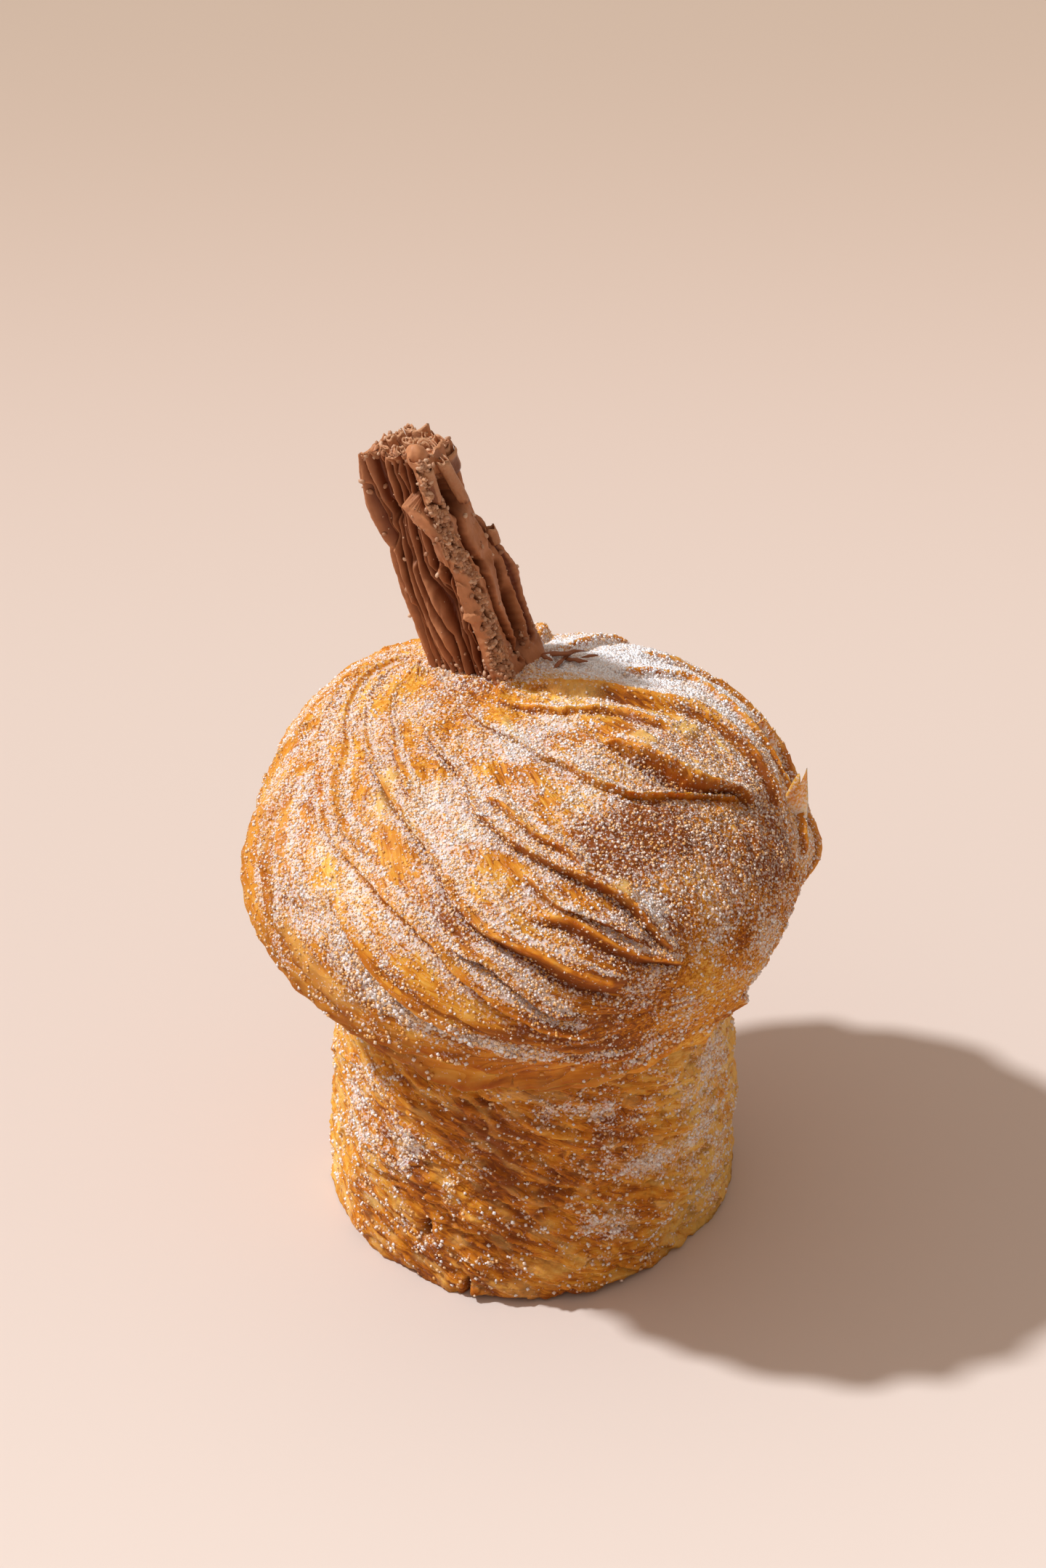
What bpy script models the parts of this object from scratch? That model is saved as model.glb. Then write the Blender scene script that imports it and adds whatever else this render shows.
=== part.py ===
"""A laminated muffin-shaped pastry with a stick of flaked chocolate pushed into its crown.

The cap is one rope of dough layers wound round the crown. Its layers start under the chocolate, spread over
the dome and run together again at one place on the rim, here called the sink. A place on the cap is given by
two angles: `turn` says which layer it lies on, and `run` how far along it, from 0 at the crown to 180 at the
sink. The front of the pastry faces -Y. Lengths are in metres and angles in degrees.
"""

import cmath
import math
from typing import NamedTuple

import bmesh
import bpy
import numpy as np
from mathutils import Matrix, Vector, noise

MM = 0.001

# Cap
CAP_RADIUS = 42.9 * MM
CAP_RISE = 27.4 * MM  # from the rim's level up to the crown
CAP_DROP = 26.0 * MM  # and down to the underside
CAP_RIM_HEIGHT = 64.0 * MM
CAP_TURN_STEPS = 96
CAP_RUN_STEPS = 42
CAP_SPREAD_ROUNDS = 1500  # passes that even out the columns between the folds
CAP_SPREAD_ACROSS = 0.985  # how far they even out across the layers, and the rest along them
CROWN_AZIMUTH, CROWN_ELEVATION = 142.2, 75.4
SINK_AZIMUTH, SINK_ELEVATION = -46.3, -0.7
WIND = 42.0  # how far the layers wind round the crown before they run straight
WIND_STARTS, WIND_ENDS = 22.0, 62.0  # run
LAYER_WAVE = 0.45 * MM  # low ripples along the layers, between the folds
LAYER_WAVE_TURN, LAYER_WAVE_RUN = 6.4, 40.0  # their size across and along the layers
EDGE_FACE = 3.4  # turn that a free edge's cut face takes
GROOVE_DEPTH, GROOVE_WIDTH = 0.8 * MM, 4.0
FOLD_FADE = 9.0  # run over which a fold rises from nothing at each end
FOLD_SHOWS = 0.15  # share of its full height from which a fold holds its columns
SWIRL_FADE = 24.0  # run from the crown and the sink over which the relief dies away

# Base, the part that was baked inside the ring
BASE_RADIUS = 32.0 * MM
BASE_NECK_RADIUS = 31.2 * MM
BASE_FOOT_RADIUS = 31.4 * MM  # of the flat that it stands on
BASE_NECK_HEIGHT = 36.0 * MM
BASE_TOP = 52.0 * MM  # inside the cap
BASE_EDGE = 1.6 * MM  # height of the rounded lower edge
BASE_STEPS = 64
BASE_ROWS = 12
BASE_EDGE_STEPS = 3
BASE_WAVE = 0.9 * MM  # rough layers in the wall
BASE_WAVE_WIDTH, BASE_WAVE_HEIGHT = 14.0 * MM, 5.0 * MM
BASE_WAVE_SLOPE = 0.45  # they run down to the right
BASE_FINE_WAVE = 0.6  # share of the finer ones, which are 2.5 times as small
BASE_FINE = 2.5

# Chocolate stick
STICK_SIDE = 13.0 * MM
STICK_CORNER = 2.6 * MM
STICK_LENGTH = 60.0 * MM
STICK_BURIED = 23.5 * MM
STICK_TURN = -36.0  # direction that its smooth face looks in
STICK_LEAN = 17.3  # to the left
STICK_LEAN_BACK = 1.0
STICK_AT = (-7.8 * MM, 12.8 * MM, 91.0 * MM)  # where its axis leaves the crown
STICK_GAP = 0.3 * MM
STICK_RINGS = 22
PLEATS = 8
PLEAT_DEPTH = 0.75 * MM
PLEAT_STEPS = 3  # points across one pleat
PLEAT_WANDER, PLEAT_WANDER_LENGTH = 0.2, 4.0 * MM  # share of a pleat that it sways by, and over what length
DRAPE_DEPTH = 0.9 * MM
DRAPE_LENGTH = 9.0 * MM
LOBE = 1.9 * MM  # how far a curled sheet stands out on the right, low down
LOBE_AT, LOBE_REACH = 9.0 * MM, 8.0 * MM  # above the crown
FACE_STEPS = 7  # points across a face without pleats
TOP_RAG, TOP_LUMP = 1.5 * MM, 2.8 * MM  # height and width of the lumps on the broken top
TOP_STEPS = 3

# Chocolate shavings at the stick's right foot
SHAVING_WIDTH, SHAVING_HEIGHT = 1.3 * MM, 1.1 * MM


class Fold(NamedTuple):
    """A layer's free edge: (run, turn) along it, how far it stands up, and the turn behind it that it lifts."""

    path: tuple
    lift: float
    back: float


class Swell(NamedTuple):
    """A rounded rise (or, below zero, a dent) of the cap round one direction."""

    azimuth: float
    elevation: float
    width: float
    height: float


FOLDS = (
    Fold(((30, 340), (43, 320), (64, 293), (99, 282), (131, 290)), 1.2 * MM, 12),
    Fold(((28, 318), (40, 288), (54, 274), (90, 270), (116, 262)), 1.5 * MM, 13),
    Fold(((22, 305), (33, 279), (50, 262)), 0.8 * MM, 9),
    Fold(((32, 264), (45, 250), (61, 252), (90, 237), (139, 227)), 1.6 * MM, 9),
    Fold(((60, 240), (80, 234), (98, 229), (120, 216)), 1.7 * MM, 14),
    Fold(((12, 252), (33, 216), (54, 204), (83, 177), (94, 163)), 1.5 * MM, 6),
    Fold(((56, 178), (83, 165), (104, 146), (125, 138)), 2.6 * MM, 16),
    Fold(((97, 246), (125, 241), (150, 234)), 1.1 * MM, 7),
    Fold(((92, 274), (108, 272), (126, 266)), 1.1 * MM, 7),
    Fold(((72, 308), (105, 307), (135, 312), (150, 320)), 1.9 * MM, 15),
    Fold(((60, 322), (100, 328), (146, 334)), 1.6 * MM, 8),
    Fold(((18, 152), (45, 140), (73, 124), (110, 120)), 1.3 * MM, 12),
    Fold(((16, 200), (32, 175), (60, 158)), 1.0 * MM, 12),
    Fold(((44, 106), (62, 97), (84, 104), (130, 104)), 1.4 * MM, 12),
    Fold(((28, 382), (56, 344), (100, 348), (150, 346)), 1.2 * MM, 13),
    Fold(((26, 50), (58, 14), (100, 8), (150, 6)), 1.5 * MM, 12),
    Fold(((26, 72), (60, 38), (110, 30), (152, 24)), 1.7 * MM, 13),
    Fold(((28, 88), (64, 60), (110, 52), (152, 46)), 1.4 * MM, 12),
    Fold(((54, 86), (90, 80), (150, 72)), 1.6 * MM, 12),
)

SWELLS = (
    Swell(-2, -1, 8, 1.0 * MM),  # the rope's end, a rounded knuckle on the right
    Swell(-14, -18, 15, -5.2 * MM),  # where it turns in below that
    Swell(9, 11, 9, -2.6 * MM),  # and the notch above it
    Swell(-72, 22, 26, 0.8 * MM),  # the broad smooth layer at the front right
    Swell(172, 8, 14, -1.4 * MM),
    Swell(152, 46, 22, 2.0 * MM),  # the shoulder behind the chocolate, on the left
)

SHAVINGS = (  # (x, y, length, turn about Z) on the crown
    (3.2 * MM, 13.6 * MM, 6.4 * MM, 24),
    (7.4 * MM, 15.4 * MM, 5.0 * MM, 8),
    (5.4 * MM, 12.2 * MM, 4.0 * MM, 52),
    (9.6 * MM, 13.4 * MM, 3.2 * MM, -18),
)


def clear_scene():
    for obj in list(bpy.data.objects):
        bpy.data.objects.remove(obj, do_unlink=True)


def new_collection(name):
    collection = bpy.data.collections.new(name)
    bpy.context.scene.collection.children.link(collection)
    return collection


def new_material(name, colour, roughness):
    material = bpy.data.materials.new(name)
    material.use_nodes = True
    shader = material.node_tree.nodes["Principled BSDF"]
    shader.inputs["Base Color"].default_value = (*colour, 1)
    shader.inputs["Roughness"].default_value = roughness
    shader.inputs["Metallic"].default_value = 0
    return material


def object_from(bm, name, collection):
    mesh = bpy.data.meshes.new(name)
    bm.to_mesh(mesh)
    bm.free()
    obj = bpy.data.objects.new(name, mesh)
    collection.objects.link(obj)
    return obj


def smooth_step(low, high, value):
    t = min(max((value - low) / (high - low), 0), 1)
    return t * t * (3 - 2 * t)


def between(points, at):
    """Reads a broken line of (at, value) points, held level past its ends."""
    if at <= points[0][0]:
        return points[0][1]
    for (start, low), (end, high) in zip(points, points[1:]):
        if at <= end:
            return low + (high - low) * (at - start) / (end - start)
    return points[-1][1]


def direction(azimuth, elevation):
    around, up = math.radians(azimuth), math.radians(elevation)
    return Vector((math.cos(up) * math.cos(around), math.cos(up) * math.sin(around), math.sin(up)))


# The swirl: a globe's meridians, carried over by a Moebius map so that its poles lie at the crown and the sink


def to_plane(on_sphere):
    return complex(on_sphere.x, on_sphere.y) / (1 - on_sphere.z)


def to_sphere(on_plane):
    square = abs(on_plane) ** 2
    return Vector((2 * on_plane.real, 2 * on_plane.imag, square - 1)) / (square + 1)


CROWN = to_plane(direction(CROWN_AZIMUTH, CROWN_ELEVATION))
SINK = to_plane(direction(SINK_AZIMUTH, SINK_ELEVATION))
BALANCE = math.sqrt((1 + abs(CROWN) ** 2) / (1 + abs(SINK) ** 2))


def swirl_direction(turn, run):
    reach = BALANCE * math.tan(math.radians(run) / 2)
    along = cmath.rect(reach, math.radians(turn))
    return to_sphere((CROWN + along * SINK) / (1 + along))


def fold_strength(fold, run):
    start, end = fold.path[0][0], fold.path[-1][0]
    return smooth_step(start - FOLD_FADE, start, run) * (1 - smooth_step(end, end + FOLD_FADE, run))


def fold_height(fold, turn, run):
    """A layer swells up to its free edge, drops down the cut face, and leaves a groove beside it."""
    strength = fold_strength(fold, run)
    if strength == 0:
        return 0
    past = (turn - between(fold.path, run) + 180) % 360 - 180
    if past <= 0:
        return strength * fold.lift * math.exp(past / fold.back)
    if past < EDGE_FACE:
        return strength * (fold.lift - (fold.lift + GROOVE_DEPTH) * smooth_step(0, EDGE_FACE, past))
    return -strength * GROOVE_DEPTH * math.exp((EDGE_FACE - past) / GROOVE_WIDTH)


def swell_height(swell, towards):
    apart = math.degrees(towards.angle(direction(swell.azimuth, swell.elevation)))
    return swell.height * math.exp(-((apart / swell.width) ** 2))


def layer_wave(turn, run):
    """Ripples that are long down the layers and short across them."""
    around = math.radians(turn)
    across = Vector((math.cos(around), math.sin(around), 0)) / math.radians(LAYER_WAVE_TURN)
    return LAYER_WAVE * noise.noise(across + Vector((0, 0, run / LAYER_WAVE_RUN)))


def cap_point(turn, run):
    towards = swirl_direction(turn, run)
    half_height = CAP_RISE if towards.z > 0 else CAP_DROP
    sides = Vector((CAP_RADIUS, CAP_RADIUS, half_height))
    outwards = Vector(n / side for n, side in zip(towards, sides)).normalized()
    fade = smooth_step(0, SWIRL_FADE, run) * smooth_step(0, SWIRL_FADE, 180 - run)
    relief = sum(fold_height(fold, turn, run) for fold in FOLDS) + layer_wave(turn, run)
    height = fade * relief + sum(swell_height(swell, towards) for swell in SWELLS)
    oval = Vector(n * side for n, side in zip(towards, sides))
    return oval + height * outwards + Vector((0, 0, CAP_RIM_HEIGHT))


def winding(run):
    return WIND * (1 - smooth_step(WIND_STARTS, WIND_ENDS, run))


def fold_columns():
    """Pairs of (column, fold): each fold takes the free column nearest to it, and the next for its foot."""
    homes = sorted(
        (sum((turn - winding(run)) % 360 for run, turn in fold.path) / len(fold.path), fold) for fold in FOLDS
    )
    taken = []
    for home, fold in homes:
        column = round(home * CAP_TURN_STEPS / 360)
        if taken:
            column = max(column, taken[-1][0] + 2)
        taken.append((column, fold))
    return taken


def column_turns():
    """The turn of every column at every ring: free edges hold their columns, the others spread out between."""
    runs = [180 * ring / CAP_RUN_STEPS for ring in range(CAP_RUN_STEPS + 1)]
    even = 360 / CAP_TURN_STEPS * np.arange(CAP_TURN_STEPS)[:, None] + np.array([winding(run) for run in runs])
    shift = np.zeros_like(even)
    target = np.full_like(even, np.nan)
    for column, fold in fold_columns():
        for ring, run in enumerate(runs):
            if fold_strength(fold, run) < FOLD_SHOWS:
                continue
            for side in (0, 1):
                here = (column + side) % CAP_TURN_STEPS
                wanted = between(fold.path, run) + side * EDGE_FACE - even[here, ring]
                target[here, ring] = (wanted + 180) % 360 - 180
    held = ~np.isnan(target)
    for _ in range(CAP_SPREAD_ROUNDS):
        ends = np.pad(shift, ((0, 0), (1, 1)), mode="edge")
        across = (np.roll(shift, 1, 0) + np.roll(shift, -1, 0)) / 2
        shift = CAP_SPREAD_ACROSS * across + (1 - CAP_SPREAD_ACROSS) * (ends[:, 2:] + ends[:, :-2]) / 2
        shift[held] = target[held]
    return (even + shift).tolist()


def build_cap(collection):
    """A globe whose meridians become the dough's layers."""
    bm = bmesh.new()
    bmesh.ops.create_uvsphere(bm, u_segments=CAP_TURN_STEPS, v_segments=CAP_RUN_STEPS, radius=1)
    turns = column_turns()
    for vert in bm.verts:
        run = math.degrees(vert.co.angle(Vector((0, 0, 1))))
        around = math.atan2(vert.co.y, vert.co.x) / math.tau
        ring = round(run * CAP_RUN_STEPS / 180)
        column = round(around * CAP_TURN_STEPS) % CAP_TURN_STEPS
        vert.co = cap_point(turns[column][ring] % 360, run)
    bmesh.ops.recalc_face_normals(bm, faces=bm.faces)
    return object_from(bm, "pastry", collection)


def base_profile():
    """(radius, height) up the wall: a rounded lower edge, then a wall that narrows to the neck."""
    rim = BASE_RADIUS - BASE_FOOT_RADIUS
    profile = [(0.0, 0.0), (BASE_FOOT_RADIUS / 2, 0.0), (BASE_FOOT_RADIUS, 0.0)]
    for step in range(1, BASE_EDGE_STEPS + 1):
        angle = math.radians(90 * step / BASE_EDGE_STEPS)
        profile.append((BASE_FOOT_RADIUS + rim * math.sin(angle), BASE_EDGE * (1 - math.cos(angle))))
    for row in range(1, BASE_ROWS + 1):
        height = BASE_EDGE + (BASE_TOP - BASE_EDGE) * row / BASE_ROWS
        taper = smooth_step(BASE_EDGE, BASE_NECK_HEIGHT, height)
        profile.append((BASE_RADIUS + (BASE_NECK_RADIUS - BASE_RADIUS) * taper, height))
    return profile + [(0.0, BASE_TOP)]


def base_wave(co):
    """Rough layers in the wall, which slope down to the right at the front; none on the flat foot."""
    level = (co.z + BASE_WAVE_SLOPE * co.x) / BASE_WAVE_HEIGHT
    place = Vector((co.x / BASE_WAVE_WIDTH, co.y / BASE_WAVE_WIDTH, level))
    rough = noise.noise(place) + BASE_FINE_WAVE * noise.noise(BASE_FINE * place)
    return BASE_WAVE * rough * smooth_step(0, BASE_EDGE, co.z)


def build_base(collection):
    bm = bmesh.new()
    profile = [bm.verts.new((radius, 0, height)) for radius, height in base_profile()]
    for low, high in zip(profile, profile[1:]):
        bm.edges.new((low, high))
    bmesh.ops.spin(
        bm,
        geom=bm.verts[:] + bm.edges[:],
        cent=(0, 0, 0),
        axis=(0, 0, 1),
        angle=math.tau,
        steps=BASE_STEPS,
    )
    bmesh.ops.remove_doubles(bm, verts=bm.verts, dist=0.01 * MM)
    for vert in bm.verts:
        wall = Vector((vert.co.x, vert.co.y, 0))
        if wall.length > BASE_FOOT_RADIUS / 2 and vert.co.z > 0:
            vert.co += base_wave(vert.co) * wall.normalized()
    bmesh.ops.recalc_face_normals(bm, faces=bm.faces)
    return object_from(bm, "base", collection)


def crust_height(cap, x, y):
    found, place, _, _ = cap.ray_cast((x, y, CAP_RIM_HEIGHT + 2 * CAP_RISE), (0, 0, -1))
    assert found, "the shaving lies off the cap"
    return place.z


def build_shaving(index, x, y, length, turn, cap, collection):
    """A slip of chocolate that tapers to one end and is half sunk in the crust."""
    bm = bmesh.new()
    bmesh.ops.create_cube(bm, size=1)
    for vert in bm.verts:
        taper = 0.45 if vert.co.x > 0 else 1
        vert.co.x *= length
        vert.co.y *= SHAVING_WIDTH * taper
        vert.co.z *= SHAVING_HEIGHT * taper
    slope = math.atan2(crust_height(cap, x + MM, y) - crust_height(cap, x - MM, y), 2 * MM)
    place = Matrix.Translation((x, y, crust_height(cap, x, y)))
    spun = Matrix.Rotation(-slope, 4, "Y") @ Matrix.Rotation(math.radians(turn), 4, "Z")
    bmesh.ops.transform(bm, matrix=place @ spun, verts=bm.verts)
    return object_from(bm, f"shaving_{index}", collection)


def join(obj, pieces):
    """Fuses a collection's pieces to the object and removes them."""
    union = obj.modifiers.new("Join", "BOOLEAN")
    union.operation = "UNION"
    union.operand_type = "COLLECTION"
    union.collection = pieces
    bpy.context.view_layer.update()
    graph = bpy.context.evaluated_depsgraph_get()
    joined = bpy.data.meshes.new_from_object(obj.evaluated_get(graph))
    obj.modifiers.clear()
    obj.data = joined
    for piece in list(pieces.objects):
        bpy.data.objects.remove(piece, do_unlink=True)
    bpy.data.collections.remove(pieces)


# The stick: a square bar with round corners, pleated on two opposite faces and draped on the other two


def square_section(side, corner, steps):
    """Points round the bar, (position, outward normal, face, share of the face), from `steps` points a face."""
    flat = side / 2 - corner
    points = []
    for face, count in enumerate(steps):
        turned = Matrix.Rotation(math.radians(90 * face), 2)
        for step in range(count):
            share = (step + 0.5) / count
            place = Vector((side / 2, (2 * share - 1) * side / 2))
            outwards = Vector((1, 0))
            if abs(place.y) > flat:
                centre = Vector((flat, math.copysign(flat, place.y)))
                outwards = (place - centre).normalized()
                place = centre + corner * outwards
            points.append((turned @ place, turned @ outwards, face, share))
    return points


def lobe(place, height):
    """The sheet that curls outwards on the stick's right corner."""
    corner = Vector((1, 1)).normalized().dot(place.normalized())
    return LOBE * max(corner, 0) ** 6 * math.exp(-(((height - LOBE_AT) / LOBE_REACH) ** 2))


def stick_relief(place, face, share, height):
    """Pleats on faces 1 and 3 and soft drapes on 0 and 2, wandering a little up the stick."""
    if face % 2:
        wander = PLEAT_WANDER * math.sin(height / PLEAT_WANDER_LENGTH + face)
        relief = PLEAT_DEPTH * (abs(math.sin(math.pi * (PLEATS * share + wander))) - 1)
    else:
        drape = noise.noise(Vector((2 * share, face, height / DRAPE_LENGTH)))
        relief = DRAPE_DEPTH * (drape - 0.4)
    shown = smooth_step(0, LOBE_AT / 2, height)
    return min(relief, 0) * (1 - shown) + (relief + lobe(place, height)) * shown


def build_stick(collection):
    pleated = PLEATS * PLEAT_STEPS
    section = square_section(STICK_SIDE, STICK_CORNER, (FACE_STEPS, pleated, FACE_STEPS, pleated))
    bm = bmesh.new()
    rings = []
    for step in range(STICK_RINGS + 1):
        height = STICK_LENGTH * step / STICK_RINGS - STICK_BURIED
        ring = []
        for place, outwards, face, share in section:
            flat = place + stick_relief(place, face, share, height) * outwards
            rag = top_lump(flat.x, flat.y) if step == STICK_RINGS else 0
            ring.append(bm.verts.new((flat.x, flat.y, height + rag)))
        rings.append(ring)
    for step in range(1, TOP_STEPS + 1):
        rings.append(top_ring(bm, rings[STICK_RINGS], 1 - step / (TOP_STEPS + 0.6)))
    for low, high in zip(rings, rings[1:]):
        for here in range(len(section)):
            after = (here + 1) % len(section)
            bm.faces.new((low[here], low[after], high[after], high[here]))
    bm.faces.new(reversed(rings[0]))
    bm.faces.new(rings[-1])
    bmesh.ops.recalc_face_normals(bm, faces=bm.faces)
    return object_from(bm, "chocolate_stick", collection)


def top_lump(x, y):
    return TOP_RAG * noise.noise(Vector((x, y, 0)) / TOP_LUMP)


def top_ring(bm, outer, share):
    """A ring of the broken top, `share` of the way out from its middle."""
    ring = []
    for vert in outer:
        x, y = vert.co.x * share, vert.co.y * share
        ring.append(bm.verts.new((x, y, STICK_LENGTH - STICK_BURIED + top_lump(x, y))))
    return ring


def build_socket(collection):
    """The hole in the crown: the bar's outline with the gap all round, from below its end to clear of the dome."""
    bm = bmesh.new()
    bottom = -STICK_BURIED - STICK_GAP
    outline = square_section(STICK_SIDE + 2 * STICK_GAP, STICK_CORNER, (6, 6, 6, 6))
    floor = bm.faces.new([bm.verts.new((*place, bottom)) for place, _, _, _ in outline])
    raised = bmesh.ops.extrude_face_region(bm, geom=[floor])["geom"]
    top = [item for item in raised if isinstance(item, bmesh.types.BMVert)]
    bmesh.ops.translate(bm, vec=(0, 0, STICK_BURIED + 20 * MM), verts=top)
    bmesh.ops.recalc_face_normals(bm, faces=bm.faces)
    return object_from(bm, "socket", collection)


def set_stick(obj):
    obj.location = STICK_AT
    lean = Matrix.Rotation(math.radians(-STICK_LEAN), 3, "Y") @ Matrix.Rotation(
        math.radians(-STICK_LEAN_BACK), 3, "X"
    )
    obj.rotation_euler = (lean @ Matrix.Rotation(math.radians(STICK_TURN), 3, "Z")).to_euler()


def cut(obj, cutter):
    cutter.hide_render = True
    cutter.display_type = "WIRE"
    modifier = obj.modifiers.new("Socket", "BOOLEAN")
    modifier.operation = "DIFFERENCE"
    modifier.object = cutter


def main():
    clear_scene()
    parts = new_collection("cruffin")
    cutters = new_collection("cutters")

    pieces = new_collection("pastry_pieces")
    build_base(pieces)
    pastry = build_cap(parts)
    bpy.context.view_layer.update()
    for index, shaving in enumerate(SHAVINGS):
        build_shaving(index, *shaving, pastry, pieces)
    join(pastry, pieces)
    pastry.data.materials.clear()
    pastry.data.materials.append(new_material("crust", (0.62, 0.28, 0.07), 0.55))

    stick = build_stick(parts)
    stick.data.materials.append(new_material("chocolate", (0.14, 0.055, 0.03), 0.5))
    socket = build_socket(cutters)
    set_stick(stick)
    set_stick(socket)
    cut(pastry, socket)

    for obj in parts.objects:
        obj.data.shade_smooth()
        obj.data.set_sharp_from_angle(angle=math.radians(40))


main()
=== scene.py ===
import itertools
import math

import bpy
import numpy as np
from mathutils import Matrix, Vector, noise


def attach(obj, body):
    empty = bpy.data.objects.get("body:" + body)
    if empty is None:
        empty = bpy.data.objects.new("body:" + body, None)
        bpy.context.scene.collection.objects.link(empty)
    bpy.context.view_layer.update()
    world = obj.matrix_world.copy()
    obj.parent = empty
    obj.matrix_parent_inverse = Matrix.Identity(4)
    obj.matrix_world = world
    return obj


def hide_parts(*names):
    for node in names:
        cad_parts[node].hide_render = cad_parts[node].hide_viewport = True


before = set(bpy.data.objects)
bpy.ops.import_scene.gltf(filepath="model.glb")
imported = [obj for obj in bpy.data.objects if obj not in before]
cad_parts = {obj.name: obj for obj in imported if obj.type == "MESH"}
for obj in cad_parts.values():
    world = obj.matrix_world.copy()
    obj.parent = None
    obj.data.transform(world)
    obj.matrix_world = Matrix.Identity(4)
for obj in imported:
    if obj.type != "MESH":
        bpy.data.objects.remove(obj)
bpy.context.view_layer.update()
mm = 0.001


# Small helpers


def deselectAll():
    for obj in list(bpy.context.selected_objects):
        obj.select_set(False)


def makeActive(obj):
    deselectAll()
    obj.select_set(True)
    bpy.context.view_layer.objects.active = obj


def readPoints(obj):
    points = np.empty(len(obj.data.vertices) * 3)
    obj.data.vertices.foreach_get("co", points)
    return points.reshape(-1, 3)


def writePoints(obj, points):
    obj.data.vertices.foreach_set("co", np.ascontiguousarray(points, dtype=np.float32).ravel())
    obj.data.update()


def readMask(obj, name):
    values = np.empty(len(obj.data.vertices), np.float32)
    obj.data.attributes[name].data.foreach_get("value", values)
    return values


def writeMasks(obj, **masks):
    # a value or a vector for each vertex, which the materials and the sugar read
    for name, values in masks.items():
        wide = np.ndim(values) == 2
        if not np.ndim(values):
            values = np.full(len(obj.data.vertices), values)
        layer = obj.data.attributes.new(name, "FLOAT_VECTOR" if wide else "FLOAT", "POINT")
        layer.data.foreach_set("vector" if wide else "value", np.asarray(values, np.float32).ravel())


def easeIn(low, high, value):
    t = np.clip((value - low) / (high - low), 0, 1)
    return t * t * (3 - 2 * t)


slopes = np.random.default_rng(5).normal(size=(32, 32, 32, 3))
slopes /= np.linalg.norm(slopes, axis=-1, keepdims=True)


def ripple(places, seed=0):
    # smooth random height from about -1 to 1, one bump to a unit
    places = np.asarray(places, float) + 7.31 * seed
    cell = np.floor(places).astype(int)
    part = places - cell
    ease = part**3 * (part * (part * 6 - 15) + 10)
    total = np.zeros(places.shape[:-1])
    for corner in itertools.product((0, 1), repeat=3):
        x, y, z = np.moveaxis((cell + corner) % 32, -1, 0)
        weight = np.prod(np.where(corner, ease, 1 - ease), axis=-1)
        total += weight * ((part - corner) * slopes[x, y, z]).sum(-1)
    return 1.7 * total


def ridges(places, seed=0):
    # sharp crests from 0 to 1, for creased and layered surfaces
    return 1 - np.clip(np.abs(ripple(places, seed)) * 1.9, 0, 1)


def bumps(places, *layers):
    # ripples added up, each with its height, its size and a seed
    return sum(height * ripple(places / np.array(size), seed) for height, size, seed in layers)


def bell(away, power=2):
    # 1 in the middle, about a third at a distance of 1, and next to nothing from 2 on
    return np.exp(-(away**power))


def unit(vectors):
    return vectors / np.maximum(np.linalg.norm(vectors, axis=-1, keepdims=True), 1e-12)


def asPoints(x, y, z):
    # three columns, or single values, put together as points
    return np.stack(np.broadcast_arrays(x, y, z), -1)


def placed(points, matrix):
    spin = np.array(matrix)
    return points @ spin[:3, :3].T + spin[:3, 3]


def gridPiece(name, columns, rows):
    # a flat grid to be wrapped into a shape, with the column and row of each vertex
    deselectAll()
    bpy.ops.mesh.primitive_grid_add(x_subdivisions=columns, y_subdivisions=rows, size=2, location=(0, 0, 0))
    obj = bpy.context.object
    obj.name = obj.data.name = name
    flat = readPoints(obj)
    column = np.rint((flat[:, 0] + 1) * columns / 2).astype(int)
    row = np.rint((flat[:, 1] + 1) * rows / 2).astype(int)
    return obj, column, row


def closeUp(obj):
    # merges the seam and the poles, and turns the faces outwards
    makeActive(obj)
    bpy.ops.object.mode_set(mode="EDIT")
    bpy.ops.mesh.select_all(action="SELECT")
    bpy.ops.mesh.remove_doubles(threshold=0.002 * mm)
    bpy.ops.mesh.normals_make_consistent(inside=False)
    bpy.ops.object.mode_set(mode="OBJECT")
    bpy.ops.object.shade_smooth()


def finishPiece(obj, material, slot, *nodes):
    obj.data.materials.clear()
    obj.data.materials.append(material)
    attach(obj, "root")
    if nodes:
        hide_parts(*nodes)
    obj.data.calc_loop_triangles()
    print(obj.name, len(obj.data.loop_triangles), "triangles")
    return obj


def shapePiece(obj, points, **masks):
    writePoints(obj, points)
    writeMasks(obj, **masks)
    closeUp(obj)
    return obj


def joined(pieces, name):
    makeActive(pieces[0])
    for piece in pieces:
        piece.select_set(True)
    bpy.ops.object.join()
    pieces[0].name = pieces[0].data.name = name
    return pieces[0]


def sheetSides(column, steps):
    # a sheet runs out along one side and back along the other: which side, and the share of the way across
    step = column % (2 * steps)
    outer = step < steps
    return outer, np.where(outer, step, 2 * steps - 1 - step) / (steps - 1)


def scatter(obj, density, count, seed):
    # random places on a piece, more where the density is higher, and the outward direction and a vertex there
    draw = np.random.default_rng(seed)
    mesh = obj.data
    mesh.calc_loop_triangles()
    corners = np.empty(len(mesh.loop_triangles) * 3, np.int32)
    mesh.loop_triangles.foreach_get("vertices", corners)
    corners = corners.reshape(-1, 3)
    a, b, c = (readPoints(obj)[corners[:, side]] for side in range(3))
    normal = np.cross(b - a, c - a)
    weight = np.linalg.norm(normal, axis=1) * density[corners].mean(axis=1)
    picked = draw.choice(len(corners), count, p=weight / weight.sum())
    u, v = draw.random((2, count))
    u, v = np.where(u + v > 1, 1 - u, u)[:, None], np.where(u + v > 1, 1 - v, v)[:, None]
    places = a[picked] + u * (b - a)[picked] + v * (c - a)[picked]
    return places, unit(normal[picked]), corners[picked, 0], draw


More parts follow.
